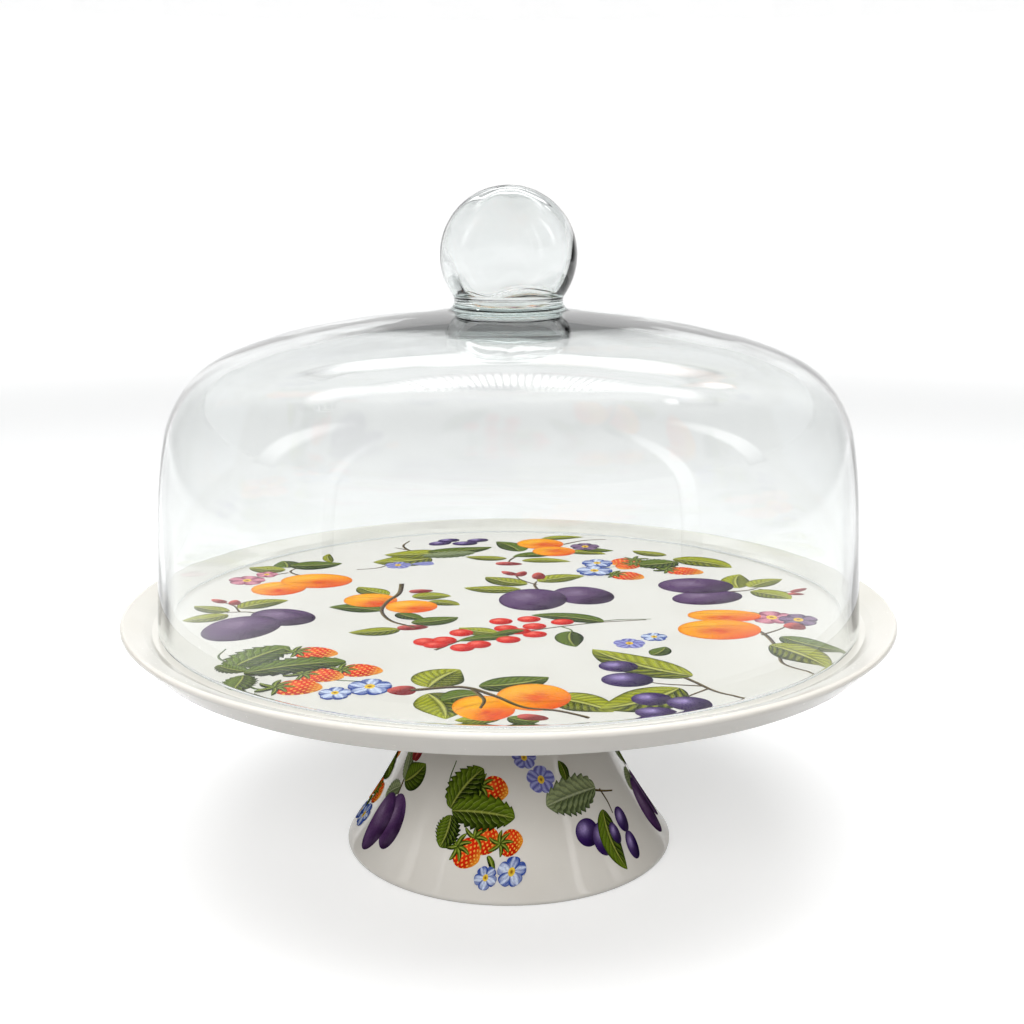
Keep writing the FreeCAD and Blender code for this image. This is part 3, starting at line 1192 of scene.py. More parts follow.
class Art:
    """The painted sprigs of the plate, each laid out in millimetres from the plate's centre."""

    @staticmethod
    def plums_centre() -> list[Mark]:
        """Two plums under four leaves."""
        return [
            S.TWIG(1.6, (13, 26), (11, 36), (12, 43)), S.TWIG(1.2, (12, 37), (5, 46), (3, 54)),
            S.LEAF(13, (8, 38), (-10, 50)), S.LEAF(12, (5, 30), (-19, 32)),
            S.LEAF(13, (13, 42), (33, 52)), S.BUD(5, (4, 51), (7, 60)),
            S.BUD(5, (3, 53), (-3, 60)), S.BUD(6, (13, 46), (13, 58)),
            S.PLUM(25, (25, 33), (37, 6)), S.PLUM(28, (12, 30), (8, -4)),
        ]

    @staticmethod
    def plums_left() -> list[Mark]:
        """Two plums, leaves to their left."""
        return [
            S.TWIG(1.6, (-96, -14), (-104, -9), (-113, -10)),
            S.TWIG(1.1, (-108, -9), (-112, 0), (-119, 6)), S.LEAF(10, (-112, -8), (-128, -2)),
            S.LEAF(11, (-112, -13), (-129, -22)), S.LEAF(13, (-109, -4), (-91, 10)),
            S.BUD(5, (-116, 4), (-123, 9)), S.BUD(5, (-112, 1), (-113, 9)),
            S.PLUM(23, (-101, -8), (-78, -23)), S.PLUM(27, (-94, -16), (-112, -46)),
        ]

    @staticmethod
    def plums_right() -> list[Mark]:
        """Two plums, leaves to their right."""
        return [
            S.TWIG(1.6, (93, 24), (101, 26), (106, 30)),
            S.TWIG(1.0, (106, 28), (114, 22), (124, 24)), S.LEAF(13, (98, 30), (102, 54)),
            S.LEAF(12, (103, 31), (119, 44)), S.LEAF(14, (102, 24), (117, 10)),
            S.BUD(4, (119, 21), (127, 27)), S.BUD(4, (117, 19), (124, 17)),
            S.PLUM(22, (97, 20), (68, 10)), S.PLUM(26, (96, 33), (64, 36)),
        ]

    @staticmethod
    def apricots_top() -> list[Mark]:
        """Two apricots at the back."""
        return [
            S.TWIG(1.5, (26, 112), (36, 120), (47, 122)), S.TWIG(1.4, (6, 92), (1, 82), (0, 76)),
            S.DUSK_LEAF(13, (5, 97), (-6, 117)), S.LEAF(9, (-1, 84), (-20, 87)),
            S.DUSK_LEAF(10, (20, 92), (2, 87)), S.LEAF(9, (6, 79), (28, 78)),
            S.LEAF(8, (16, 122), (36, 127)), S.LEAF(9, (27, 97), (45, 92)),
            S.DUSK_LEAF(8, (33, 104), (49, 99)), *flower(S.MAUVE_PETAL, (36, 107), 7),
            S.BUD(6, (-6, 74), (6, 73)), S.APRICOT(20, (4, 113), (26, 112)),
            S.APRICOT(18, (31, 98), (11, 97)),
        ]

    @staticmethod
    def apricots_back_left() -> list[Mark]:
        """Two apricots with pink blossom."""
        return [
            S.TWIG(1.5, (-88, 48), (-97, 58), (-95, 66)),
            S.TWIG(1.3, (-98, 57), (-108, 50), (-115, 44)), S.LEAF(13, (-100, 62), (-117, 66)),
            S.DUSK_LEAF(12, (-100, 66), (-104, 78)), S.DUSK_LEAF(15, (-99, 70), (-76, 74)),
            S.LEAF(5, (-81, 76), (-84, 92)), *flower(S.PINK_PETAL, (-114, 42), 8),
            *flower(S.PINK_PETAL, (-107, 53), 5), S.APRICOT(22, (-89, 37), (-107, 21)),
            S.APRICOT(24, (-99, 42), (-68, 43)),
        ]

    @staticmethod
    def apricot_branch() -> list[Mark]:
        """Two apricots on a curling branch."""
        return [
            S.LEAF(12, (-50, 20), (-64, 33)), S.DUSK_LEAF(13, (-51, -5), (-73, 0)),
            S.DUSK_LEAF(9, (-44, -8), (-33, -17)), S.LEAF(11, (-42, -31), (-61, -36)),
            S.LEAF(12, (-40, 16), (-24, 18)), S.LEAF(9, (-33, 9), (-20, 4)),
            S.DUSK_LEAF(12, (-38, -22), (-20, -14)), S.BUD(6, (-42, 25), (-32, 27)),
            S.BUD(7, (-43, -30), (-31, -28)), S.APRICOT(21, (-46, 10), (-68, 12)),
            S.APRICOT(19, (-50, 0), (-29, 3)),
            S.TWIG(2.2, (-46, 38), (-46, 22), (-50, 8), (-51, -6), (-46, -20), (-36, -29)),
        ]

    @staticmethod
    def apricots_right() -> list[Mark]:
        """Two apricots with mauve blossom and a twig to the front."""
        return [
            S.TWIG(2.0, (88, -24), (97, -38), (99, -58), (98, -72), (108, -82)),
            S.TWIG(1.2, (96, -40), (105, -32), (112, -22)),
            S.DUSK_LEAF(13, (103, -42), (123, -56)), S.LEAF(19, (97, -52), (112, -73)),
            *flower(S.PINK_PETAL, (104, -17), 9), *flower(S.MAUVE_PETAL, (114, -21), 8),
            S.BUD(8, (108, -26), (114, -33)), S.LEAF(6, (100, -12), (92, -10)),
            S.APRICOT(17, (100, -15), (71, -12)), S.APRICOT(26, (97, -32), (65, -33)),
        ]

    @staticmethod
    def strawberries_back() -> list[Mark]:
        """Strawberries and blue flowers at the back."""
        return [
            S.STALK(1.0, (62, 74), (52, 70), (40, 66)), S.STALK(1.0, (72, 72), (74, 66), (76, 60)),
            S.SAW_LEAF(20, (76, 77), (57, 72)), S.LEAF(17, (75, 82), (100, 66)),
            S.LEAF(9, (73, 90), (58, 99)), *crowned(S.BERRY, 13, (58, 82), (47, 72)),
            *crowned(S.BERRY, 11, (56, 74), (50, 64)), *crowned(S.BERRY, 13, (46, 55), (59, 48)),
            *crowned(S.BERRY, 12, (70, 62), (86, 57)), *flower(S.BLUE_PETAL, (40, 74), 7),
            *flower(S.BLUE_PETAL, (38, 60), 8),
        ]

    @staticmethod
    def damsons_back() -> list[Mark]:
        """Damsons and long leaves at the back left."""
        return [
            S.TWIG(1.6, (-42, 90), (-50, 106), (-48, 118)), S.TWIG(1.3, (-48, 100), (-54, 104)),
            S.TWIG(1.2, (-52, 78), (-58, 66), (-68, 62)), S.LEAF(20, (-36, 84), (-62, 76)),
            S.LEAF(17, (-30, 96), (-58, 90)), S.DUSK_LEAF(13, (-38, 96), (-8, 106)),
            S.GREY_LEAF(13, (-40, 88), (-16, 96)), S.DAMSON(8, (-38, 110), (-28, 116)),
            S.DAMSON(8, (-27, 112), (-15, 114)), S.DAMSON(7, (-34, 117), (-24, 121)),
            S.DAMSON(7, (-20, 118), (-10, 121)), *flower(S.VIOLET_PETAL, (-50, 70), 6),
            S.VIOLET_PETAL(6, (-44, 72), (-34, 74)),
        ]

    @staticmethod
    def damsons_front() -> list[Mark]:
        """Damsons under two long leaves at the front right."""
        return [
            S.TWIG(2.0, (56, -80), (64, -92), (71, -102), (82, -108)),
            S.TWIG(1.0, (68, -98), (60, -106), (58, -110)),
            S.TWIG(1.0, (48, -78), (56, -84), (63, -90)),
            S.TWIG(1.0, (66, -96), (52, -94), (45, -90)), S.DUSK_LEAF(8, (52, -64), (58, -54)),
            S.LEAF(19, (64, -86), (31, -57)), S.LEAF(20, (58, -98), (30, -118)),
            S.DAMSON(12, (46, -77), (32, -76)), S.DAMSON(14, (50, -90), (32, -91)),
            S.DAMSON(12, (54, -107), (41, -111)), S.DAMSON(9, (55, -121), (41, -121)),
            S.DAMSON(12, (67, -113), (52, -112)), *flower(S.VIOLET_PETAL, (45, -50), 6),
            *flower(S.BLUE_PETAL, (55, -42), 5),
        ]

    @staticmethod
    def strawberries_front() -> list[Mark]:
        """Strawberries, toothed leaves and blue flowers at the front left."""
        return [
            S.STALK(1.2, (-92, -84), (-86, -97), (-76, -98)),
            S.STALK(1.1, (-70, -84), (-60, -90), (-50, -92)),
            S.STALK(1.1, (-92, -78), (-104, -66), (-104, -56)),
            S.SAW_LEAF(20, (-98, -77), (-81, -54)), S.SAW_LEAF(9, (-92, -80), (-103, -73)),
            S.SAW_LEAF(13, (-92, -84), (-94, -100)), *crowned(S.BERRY, 13, (-78, -60), (-62, -63)),
            *crowned(S.BERRY, 13, (-59, -80), (-44, -82)),
            *crowned(S.BERRY, 13, (-72, -84), (-57, -88)),
            *crowned(S.BERRY, 14, (-79, -97), (-63, -98)), S.SAW_LEAF(17, (-92, -83), (-58, -72)),
            *flower(S.BLUE_PETAL, (-47, -98), 7.5), *flower(S.BLUE_PETAL, (-58, -104), 5.5),
        ]

    @staticmethod
    def apricots_front() -> list[Mark]:
        """Two apricots on a branch along the front."""
        return [
            S.LEAF(19, (-27, -98), (-17, -80)), S.LEAF(18, (-27, -104), (-20, -127)),
            S.DUSK_LEAF(15, (-10, -97), (14, -88)), S.DUSK_LEAF(13, (-10, -105), (-22, -111)),
            S.LEAF(17, (14, -108), (34, -121)), S.LEAF(8, (-2, -124), (-17, -128)),
            S.DUSK_LEAF(7, (0, -126), (10, -129)), S.BUD(9, (-31, -101), (-41, -101)),
            S.APRICOT(23, (1, -113), (-17, -122)), S.APRICOT(25, (-4, -107), (21, -108)),
            S.TWIG(2.2, (-33, -101), (-16, -98), (-5, -106), (5, -117), (16, -120), (26, -126)),
            S.TWIG(1.8, (-12, -100), (-8, -110), (-9, -118)), S.BUD(5, (3, -125), (13, -127)),
        ]

    @staticmethod
    def currants() -> list[Mark]:
        """Red currants along a branch."""
        places = ((-31, -48), (-24, -46), (-18, -36), (-17, -55), (-11, -51), (-3, -20), (-1, -30),
                  (0, -45), (8, -17), (10, -27), (10, -38), (21, -21), (4, -34), (-27, -52))
        berries = [S.CURRANT(10 - 0.2 * k, (x + 4.5, y + 1), (x - 4.5, y - 1))
                   for k, (x, y) in enumerate(places)]
        return [
            S.TWIG(1.5, (-27, -58), (-15, -43), (-1, -39), (12, -31), (34, -22), (54, -18)),
            S.STALK(1.0, (20, -27), (24, -32), (24, -38)),
            S.STALK(1.0, (30, -23), (42, -18), (56, -17)), S.LEAF(11, (-4, -36), (-19, -29)),
            S.DUSK_LEAF(8, (1, -41), (-19, -47)), S.DUSK_LEAF(12, (37, -21), (9, -11)),
            S.DUSK_LEAF(11, (24, -34), (25, -54)), *berries, S.DUSK_LEAF(6, (6, -33), (-6, -40)),
        ]

    @staticmethod
    def foot_plums() -> list[Mark]:
        """Two hanging plums, for the pedestal."""
        return [
            S.TWIG(1.4, (0, 0), (1, 10), (2, 20)), S.GREY_LEAF(11, (0, 4), (-12, -3)),
            S.GREY_LEAF(10, (1, 8), (-3, 24)), S.DUSK_LEAF(15, (2, 7), (14, 18)),
            S.BUD(4, (4, 18), (2, 26)), S.BUD(4, (5, 18), (9, 26)), S.PLUM(15, (3, 1), (6, -26)),
            S.PLUM(17, (-3, 0), (-10, -29)),
        ]

    @staticmethod
    def foot_strawberries() -> list[Mark]:
        """Toothed leaves over strawberries and two blue flowers, for the pedestal."""
        return [
            S.STALK(1.0, (-6, 0), (-12, 12), (-10, 24)),
            S.STALK(1.0, (-4, -4), (-6, -16), (2, -20)), *crowned(S.BERRY, 14, (5, 13), (19, 10)),
            *crowned(S.BERRY, 14, (6, -12), (19, -14)),
            *crowned(S.BERRY, 15, (-2, -17), (10, -23)),
            *crowned(S.BERRY, 13, (19, -14), (30, -13)), S.SAW_LEAF(18, (-9, 0), (5, 22)),
            S.SAW_LEAF(14, (-8, -3), (-11, -19)), S.SAW_LEAF(19, (-8, -1), (24, -2)),
            S.SEPAL(3, (14, -20), (18, -29)), *flower(S.BLUE_PETAL, (27, -27), 7),
            *flower(S.BLUE_PETAL, (15, -30), 5.5, 5, 0.9),
        ]

    @staticmethod
    def foot_damsons() -> list[Mark]:
        """Damsons and leaves on a twig, for the pedestal."""
        return [
            S.TWIG(1.4, (4, 10), (18, 6), (28, 4)), S.TWIG(1.0, (18, 7), (22, 0), (24, -6)),
            *flower(S.VIOLET_PETAL, (-22, 26), 6), *flower(S.VIOLET_PETAL, (-15, 15), 7),
            S.DAMSON(13, (8, -6), (2, -18)), S.DAMSON(13, (14, -8), (14, -24)),
            S.GREY_LEAF(21, (15, 8), (-14, 2)), S.DUSK_LEAF(5, (-2, 14), (-5, 24)),
            S.DAMSON(8, (27, -4), (32, -16)), S.DAMSON(8, (31, -16), (34, -29)),
            S.DUSK_LEAF(12, (17, -3), (24, -32)), S.DAMSON(6, (20, -10), (24, -20)),
        ]


@dataclass
class Sprig:
    """One fired transfer: its strokes laid one over another on the china.

    Args:
        name: the piece's name.
        marks: its strokes, the lowest first.
        seed: its own random numbers.
        lift: how far the lowest stroke stands above the china, in millimetres.
        layer: how much higher each next stroke is.
        root: how far the strokes reach into the glaze.
    """

    name: str
    marks: list[Mark]
    seed: int
    lift: float = 0.02
    layer: float = 0.010
    root: float = 0.05

    @staticmethod
    def middle(line: tuple[Place, ...], bow: float, s: np.ndarray) -> np.ndarray:
        """Points on the middle line: a smooth curve through its points, bowed if it has only two.

        With two points it is the straight run plus a bow of 4 s (1 - s) to the left; with more,
        each axis is the cubic Hermite curve through every point with its neighbours' slope.

        Args:
            line: the points in order.
            bow: how far it bends, as a share of its length.
            s: places from 0 to 1.

        Returns:
            Rows of x and y.
        """
        knots = np.array(line, float)
        if len(knots) == 2:
            run = knots[1] - knots[0]
            left = np.array([-run[1], run[0]])
            return knots[0] + s[:, None] * run + (4 * s * (1 - s) * bow)[:, None] * left
        at = np.linspace(0, 1, len(knots))
        slope = np.gradient(knots, at, axis=0)
        k = np.clip(np.searchsorted(at, s, side="right") - 1, 0, len(at) - 2)
        step = at[1]
        u = ((s - at[k]) / step)[:, None]
        return (
            (2 * u ** 3 - 3 * u ** 2 + 1) * knots[k] + (u ** 3 - 2 * u ** 2 + u) * step * slope[k]
            + (3 * u ** 2 - 2 * u ** 3) * knots[k + 1] + (u ** 3 - u ** 2) * step * slope[k + 1]
        )

    def slab(self, one: Mark, height: float, ground: "Ground",
             dice: np.random.Generator) -> Surface:
        """A stroke as a closed thin slab: middle line plus t times half the width to its left.

        Args:
            one: the stroke.
            height: how far its face stands above the china.
            ground: the surface that it lies on.
            dice: random numbers for its paint.

        Returns:
            The slab, painted, with its pattern place.
        """
        stroke, width, line = one
        kind = stroke.value
        rows, columns = kind.steps
        s = (1 - np.cos(np.pi * np.linspace(0, 1, rows + 1))) / 2
        if kind.shape in (Shape.SAW_LEAF, Shape.STRIP):
            s = np.linspace(0, 1, rows + 1)
        t = np.linspace(-1, 1, columns + 1)
        centre = self.middle(line, kind.bow, s)
        aim = np.gradient(centre, s, axis=0)
        aim /= np.linalg.norm(aim, axis=1)[:, None] + 1e-9
        left = np.stack([-aim[:, 1], aim[:, 0]], 1)
        half = kind.shape.width(s) * width / 2
        page = centre[:, None] + (t[None, :] * half[:, None])[..., None] * left[:, None]
        along, across = np.broadcast_arrays(s[:, None], t[None, :])
        local = (page - page.mean((0, 1))) / (0.5 * np.ptp(page.reshape(-1, 2), axis=0))
        lit = 1.0 if left.mean(0) @ np.array([-0.4, 0.9]) > 0 else -1.0
        paint = kind.brush(Patch(along, across, local[..., 0], local[..., 1], lit, dice))
        flat = page.reshape(-1, 2)
        count = len(flat)
        points = np.concatenate(
            [ground.place(flat, np.full(count, lift)) for lift in (height, -self.root)])
        number = np.arange(count).reshape(along.shape)
        top = np.stack([number[:-1, :-1], number[1:, :-1], number[1:, 1:], number[:-1, 1:]], 2)
        top = top.reshape(-1, 4)
        rim = np.concatenate([
            number[:, 0], number[-1, 1:], number[::-1, -1][1:], number[0, ::-1][1:-1]])
        after = np.roll(rim, -1)
        wall = np.stack([rim, rim + count, after + count, after], 1)
        quads = np.concatenate([top, top[:, ::-1] + count, wall])
        uv = np.stack([along.ravel(), (across.ravel() + 1) / 2], 1)
        pattern = np.tile(np.array(kind.pattern), (2 * count, 1))
        return Surface(points, quads, np.zeros((0, 3), int), np.tile(uv, (2, 1)),
                       np.tile(np.clip(paint, 0, 1).reshape(-1, 3), (2, 1)), pattern)

    def build(self, ground: "Ground", enamel: bpy.types.Material) -> bpy.types.Object:
        """Lays every stroke and makes one piece of them."""
        dice = np.random.default_rng(self.seed)
        slabs = [self.slab(one, self.lift + self.layer * k, ground, dice)
                 for k, one in enumerate(self.marks)]
        return piece(self.name, joined(slabs), enamel, "stand")


class Ground:
    """The flat well of the plate, on which a page of x to the right and y to the back lies."""

    def __init__(self, height: float) -> None:
        """Keeps the well's height."""
        self.height = height

    def place(self, page: np.ndarray, lift: np.ndarray) -> np.ndarray:
        """Puts page points on the well, each raised by its lift."""
        return np.stack([page[:, 0], page[:, 1], self.height + lift], 1)


class FootGround(Ground):
    """The pedestal's outside round one place, on which y goes up the wall and x round it.

    Args:
        stand: the china, for its outline.
        angle: where the page's middle is, in degrees to the right of the front.
        height: the height of the page's middle.
        scale: size of the art here.
        tilt: how far the art is turned, in degrees.
    """

    def __init__(self, stand: ChinaStand, angle: float, height: float, scale: float,
                 tilt: float) -> None:
        """Keeps where the page lies."""
        super().__init__(height)
        self.stand, self.scale = stand, scale
        self.middle = math.radians(angle - 90)
        self.tilt = math.radians(tilt)

    def place(self, page: np.ndarray, lift: np.ndarray) -> np.ndarray:
        """Wraps page points: height rises by y cos(lean), and angle by x over the radius."""
        c, s = math.cos(self.tilt), math.sin(self.tilt)
        x, y = self.scale * page[:, 0], self.scale * page[:, 1]
        x, y = c * x - s * y, s * x + c * y
        _, lean = self.stand.wall_at(np.full(len(page), self.height))
        height = self.height + y * np.cos(lean)
        radius, lean = self.stand.wall_at(height)
        angle = self.middle + x / radius
        out = radius + lift * np.cos(lean)
        return np.stack([out * np.cos(angle), out * np.sin(angle), height + lift * np.sin(lean)], 1)


@dataclass(frozen=True)
class Enamel:
    """Fired colours under the glaze: brush grain, leaf veins, berry seeds and a plum's bloom.

    Args:
        name: the material's name.
        vein: linear colour of the fine veins.
        seed: linear colour of the seeds.
        bloom: linear colour of the bloom.
        roughness: how dull the gloss is.
        wave_depth: height of the waves in metres.
    """

    name: str = "enamel_print"
    vein: Colour = (0.50, 0.55, 0.20)
    seed: Colour = (0.95, 0.60, 0.10)
    bloom: Colour = (0.24, 0.16, 0.28)
    roughness: float = 0.1
    wave_depth: float = 0.0002

    def make(self, effects: Effects) -> bpy.types.Material:
        """Wires the enamel: paint, then veins, seeds and bloom by each stroke's own strength."""
        material, hand, shader, _ = new_material(self.name)
        paint = hand.add("ShaderNodeVertexColor", layer_name="paint").outputs["Color"]
        strength = hand.add("ShaderNodeSeparateColor")
        hand.put(hand.add("ShaderNodeVertexColor", layer_name="strength").outputs["Color"],
                 strength.inputs[0])
        spread = hand.add("ShaderNodeUVMap", uv_map="pattern").outputs["UV"]
        place = hand.place()
        veins = effects.use(hand, effects.leaf_veins, Spread=spread)
        seeds = effects.use(hand, effects.berry_seeds, Spread=spread)
        grain = effects.use(hand, effects.brush_grain, Place=place)
        vein, seed, bloom = strength.outputs[:3]
        colour = hand.between(paint, self.vein, hand.product(veins.outputs["Mask"], vein, 0.5))
        colour = hand.between(colour, self.seed, hand.product(seeds.outputs["Mask"], seed))
        colour = hand.between(colour, self.bloom, hand.product(grain.outputs["Cloud"], bloom, 0.2))
        light = hand.add("ShaderNodeHueSaturation")
        hand.put(grain.outputs["Value"], light.inputs["Value"])
        hand.put(colour, light.inputs["Color"])
        hand.put(light.outputs["Color"], shader.inputs["Base Color"])
        hand.put(hand.maths("MULTIPLY_ADD", grain.outputs["Cloud"], 0.06, self.roughness),
                 shader.inputs["Roughness"])
        shader.inputs["Specular IOR Level"].default_value = 0.0
        peel = effects.use(hand, effects.orange_peel, Place=place)
        hand.bump(peel.outputs["Height"], self.wave_depth, shader, 0.4)
        return material


class Transfers:
    """Every printed sprig on the plate's well and round the pedestal."""

    WELL = (Art.plums_centre, Art.plums_left, Art.plums_right, Art.apricots_top,
            Art.apricots_back_left, Art.apricot_branch, Art.apricots_right,
            Art.strawberries_back, Art.damsons_back, Art.damsons_front,
            Art.strawberries_front, Art.apricots_front, Art.currants)
    WELL_SEED = 11
    # round the pedestal: sprig, degrees from the front, height, scale, tilt
    FOOT = (
        (Art.foot_plums, -62, 27.0, 0.83, 10), (Art.foot_strawberries, -19, 29.5, 0.78, 0),
        (Art.foot_damsons, 31, 29.0, 0.80, -6), (Art.foot_plums, 86, 27.0, 0.83, 0),
        (Art.foot_strawberries, 126, 29.5, 0.76, 4), (Art.foot_damsons, 175, 29.0, 0.8, -6),
        (Art.foot_plums, 222, 27.0, 0.82, 6), (Art.foot_strawberries, 258, 29.5, 0.76, 0),
    )
    FOOT_SEED = 40

    def build(self, stand: ChinaStand, enamel: bpy.types.Material) -> list[bpy.types.Object]:
        """Prints the thirteen sprigs of the well, then the three sprigs round the pedestal."""
        well = Ground(stand.well_top)
        made = [Sprig(f"transfer_{draw.__name__}", draw(), self.WELL_SEED + k).build(well, enamel)
                for k, draw in enumerate(self.WELL)]
        for k, (draw, *spot) in enumerate(self.FOOT):
            sprig = Sprig(f"transfer_{draw.__name__}_{k + 1}", draw(), self.FOOT_SEED + k)
            made.append(sprig.build(FootGround(stand, *spot), enamel))
        return made


# ---------------------------------------------------------------- studio and camera

@dataclass
class Studio:
    """A white sweep all round, soft lamps, and the camera."""

    floor_radius: float = 2.2
    sweep_curve: float = 0.6
    wall_height: float = 1.05
    glow_from: float = 1.2
    glow_to: float = 2.1
    glow_near: float = 0.41
    glow_far: float = 0.80
    glow_high: float = 0.97
    floor_spill: float = 0.45
    room_front: float = 0.13
    room_back: float = 0.74
    over: float = 19.0
    front: float = 25.0
    lens: float = 53.26
    eye: tuple[float, float, float] = (0.0013, -0.5903, 0.2661)
    pitch: float = 77.68
    strip_centre: float = 0.19

    # where a gloss sees the floor dim: from and to, in metres, then the two shares of light
    DIM_FRONT = (-0.5, -0.15, 0.08, 1.0)
    DIM_SIDE = (1.2, 1.9, 1.0, 0.12)
    RISE = (0.05, 0.4)
    # softboxes: name, place, width and height
    SOFTBOXES = (
        ("over", (0.0, -0.2, 1.5), (1.5, 1.2)),
        ("front", (-0.25, -1.75, 1.1), (2.0, 0.6)),
    )
    # strips: name, ends round the room, lower and upper edge, brightness, ribs
    STRIPS = (
        ("strip_back", (-26, 26), (32, 40), 3.2, 0),
        ("strip_ribbed", (-74, 66), (47, 56), 3.4, 100),
        ("strip_left", (-104, -94), (12, 58), 2.4, 0),
        ("strip_right", (92, 101), (12, 58), 2.4, 0),
        ("strip_tall_left", (-128, -124), (-8, 60), 1.2, 0),
        ("strip_tall_right", (122, 129), (-8, 60), 2.0, 0),
        ("glint_left", (-76, -66), (50, 56), 4.0, 0),
        ("glint_right", (52, 62), (54, 59), 4.0, 0),
        ("glint_far", (30, 40), (38, 43), 3.0, 0),
    )

    def sweep(self) -> bpy.types.Object:
        """A round white floor that curves up into a low wall, seen from every side alike."""
        trace = Trace(0.0, 0.0, 0.0)
        trace.run_to(self.floor_radius / MM, 0.0, 24)
        trace.turn(self.sweep_curve / MM, 90, 16)
        trace.run_to((self.floor_radius + self.sweep_curve) / MM, self.wall_height / MM, 3)
        outline = trace.outline()
        back = outline[::-1] + np.array([0.0, -20.0])
        back[-1, 0] = 0.0
        surface = turned(np.concatenate([back[::-1], outline[::-1]]), sides=96)
        mesh = bpy.data.meshes.new("studio_sweep")
        mesh.from_pydata((surface.points * MM).tolist(), [],
                         surface.quads.tolist() + surface.tris.tolist())
        mesh.polygons.foreach_set("use_smooth", np.ones(len(mesh.polygons), bool))
        material, hand, shader, _ = new_material("studio_white")
        mottle = hand.noise(hand.place(), 3.0, 2.0)
        white = hand.between((0.79, 0.79, 0.79), (0.81, 0.81, 0.81), mottle)
        shader.inputs["Roughness"].default_value = 0.95
        shader.inputs["Specular IOR Level"].default_value = 0.1
        x, y, z = hand.split(hand.place())
        reach = hand.maths("SQRT", hand.maths(
            "ADD", hand.maths("POWER", x, 2.0), hand.maths("POWER", y, 2.0)))
        far = hand.ramp(reach, self.glow_from, self.glow_to, self.glow_near, self.glow_far)
        high = hand.ramp(z, *self.RISE, 1.0, self.glow_high)
        path = hand.add("ShaderNodeLightPath")
        diffuse = path.outputs["Is Diffuse Ray"]
        direct = hand.maths("MAXIMUM", path.outputs["Is Camera Ray"], hand.maths(
            "MAXIMUM", path.outputs["Is Transmission Ray"], diffuse))
        # a gloss sees a floor that is dim in front and at the sides, as where a room goes dark
        front = hand.ramp(y, *self.DIM_FRONT)
        side = hand.ramp(hand.maths("ABSOLUTE", x), *self.DIM_SIDE)
        dim = hand.maths("MAXIMUM", hand.product(front, side), direct)
        spill = hand.maths("MULTIPLY_ADD", diffuse, self.floor_spill - 1.0, 1.0)
        hand.put(hand.between(BLACK, white, hand.product(dim, spill)), shader.inputs["Base Color"])
        shown = hand.product(dim, hand.maths("SUBTRACT", 1.0, diffuse))
        glow = hand.product(far, high, shown)
        hand.put(hand.between(BLACK, (1.0, 1.0, 1.0), glow), shader.inputs["Emission Color"])
        shader.inputs["Emission Strength"].default_value = 1.0
        mesh.materials.append(material)
        sweep = placed("studio_sweep", mesh)
        return sweep

    def lamp(self, name: str, at: tuple[float, float, float], size: tuple[float, float],
             power: float, aim: tuple[float, float, float] = (0.0, 0.0, 0.12)) -> bpy.types.Object:
        """Adds a soft rectangular lamp aimed at a point.

        Args:
            name: the lamp's name.
            at: where it hangs, in metres.
            size: its width and height in metres.
            power: its strength in watts.
            aim: the point that it faces.

        Returns:
            The lamp.
        """
        light = bpy.data.lights.new(name, "AREA")
        light.shape = "RECTANGLE"
        light.size, light.size_y = size
        light.energy = power
        made = placed(name, light)
        made.location = at
        run = np.array(aim) - np.array(at)
        made.rotation_euler = (
            math.atan2(math.hypot(run[0], run[1]), -run[2]), 0.0,
            math.atan2(run[1], run[0]) - math.pi / 2,
        )
        made.visible_glossy = made.visible_transmission = False
        return made

    def strip(self, name: str, azimuth: tuple[float, float], height: tuple[float, float],
              glow: float, ribs: int = 0, reach: float = 1.35) -> bpy.types.Object:
        """Adds a glowing strip on a dome of the room: a patch of sphere seen from the lid.

        The point at u, v is the reach times (cos e sin a, cos e cos a, sin e), with the azimuth a
        and the height e each between their ends by u and v; the glow falls as 1 - (2v - 1)^2.

        Args:
            name: the strip's name.
            azimuth: its ends round the room in degrees, 0 at the back and 90 on the right.
            height: its lower and upper edge, in degrees above the lid.
            glow: how bright its middle is.
            ribs: how many dark bars cross it.
            reach: its distance in metres.

        Returns:
            The strip.
        """
        u, v = np.meshgrid(np.linspace(0, 1, max(48, 6 * ribs + 1)), np.linspace(0, 1, 13),
                           indexing="ij")
        a = np.radians(azimuth[0] + (azimuth[1] - azimuth[0]) * u)
        e = np.radians(height[0] + (height[1] - height[0]) * v)
        points = reach * np.stack([np.cos(e) * np.sin(a), np.cos(e) * np.cos(a), np.sin(e)], 2)
        points = points.reshape(-1, 3) + np.array([0.0, 0.0, self.strip_centre])
        light = (1 - (2 * v - 1) ** 2) * np.clip(6 * u, 0, 1) * np.clip(6 - 6 * u, 0, 1)
        if ribs:
            light = light * (0.25 + 0.75 * (np.sin(2 * np.pi * ribs * u) > -0.2))
        number = np.arange(u.size).reshape(u.shape)
        quads = np.stack([number[:-1, :-1], number[1:, :-1], number[1:, 1:], number[:-1, 1:]], 2)
        mesh = bpy.data.meshes.new(name)
        mesh.from_pydata(points.tolist(), [], quads.reshape(-1, 4).tolist())
        layer = mesh.color_attributes.new(name="glow", type="FLOAT_COLOR", domain="POINT")
        layer.data.foreach_set("color", np.repeat(light.ravel(), 4).astype(np.float32))
        material, hand, shader, _ = new_material(name)
        shader.inputs["Base Color"].default_value = (*BLACK, 1.0)
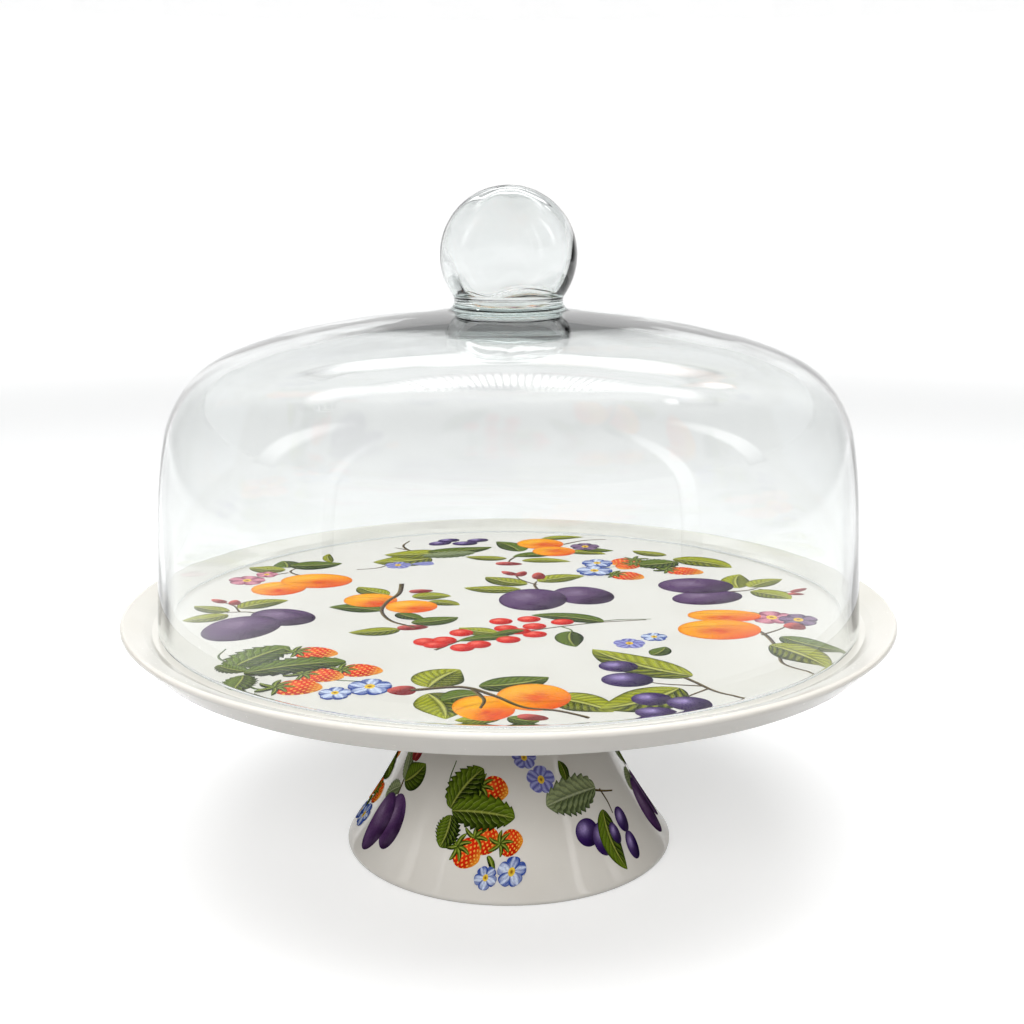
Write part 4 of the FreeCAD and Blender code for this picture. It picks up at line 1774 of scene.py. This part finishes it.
        hand.put(hand.add("ShaderNodeVertexColor", layer_name="glow").outputs["Color"],
                 shader.inputs["Emission Color"])
        shader.inputs["Emission Strength"].default_value = glow
        mesh.materials.append(material)
        made = placed(name, mesh)
        made.visible_camera = made.visible_diffuse = made.visible_shadow = False
        return made

    def room(self) -> bpy.types.World:
        """The room light: dim in front and bright behind, by the direction's y."""
        world = bpy.data.worlds.new("room")
        world.use_nodes = True
        hand = Nodes(world.node_tree)
        sky = world.node_tree.nodes["Background"]
        _, y, _ = hand.split(hand.add("ShaderNodeTexCoord").outputs["Generated"])
        back = hand.ramp(y, -0.5, 0.7, self.room_front, self.room_back)
        hand.put(hand.between(BLACK, (0.98, 1.0, 1.0), back), sky.inputs["Color"])
        sky.inputs["Strength"].default_value = 1.0
        return world

    def build(self) -> None:
        """Sets up the sweep, lamps, room light, camera and plain view."""
        self.sweep()
        for name, at, size in self.SOFTBOXES:
            self.lamp(f"softbox_{name}", at, size, getattr(self, name))
        for name, azimuth, height, glow, ribs in self.STRIPS:
            self.strip(name, azimuth, height, glow, ribs)
        bpy.context.scene.world = self.room()
        camera = bpy.data.cameras.new("camera")
        camera.sensor_width = 36.0
        camera.lens = self.lens
        camera.clip_start = 0.01
        view = placed("camera", camera)
        view.location = self.eye
        view.rotation_euler = (math.radians(self.pitch), 0.0, 0.0)
        bpy.context.scene.camera = view
        bpy.context.scene.view_settings.view_transform = "Standard"
        cycles = bpy.context.scene.cycles
        cycles.use_denoising = True
        cycles.max_bounces = cycles.transmission_bounces = 18


def main() -> None:
    """Builds the stand, the lid and the studio in order."""
    logging.basicConfig(level=logging.INFO, format="%(name)s %(message)s")
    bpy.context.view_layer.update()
    effects = Effects()
    glaze = Glaze().make(effects)
    stand = ChinaStand()
    stand.build(glaze)
    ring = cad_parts["bond_ring"]
    ring.data.materials.clear()
    ring.data.materials.append(Slip().make())
    Transfers().build(stand, Enamel().make(effects))
    GlassLid().build(BlownGlass().make())
    Studio().build()


if __name__ == "__main__":
    main()
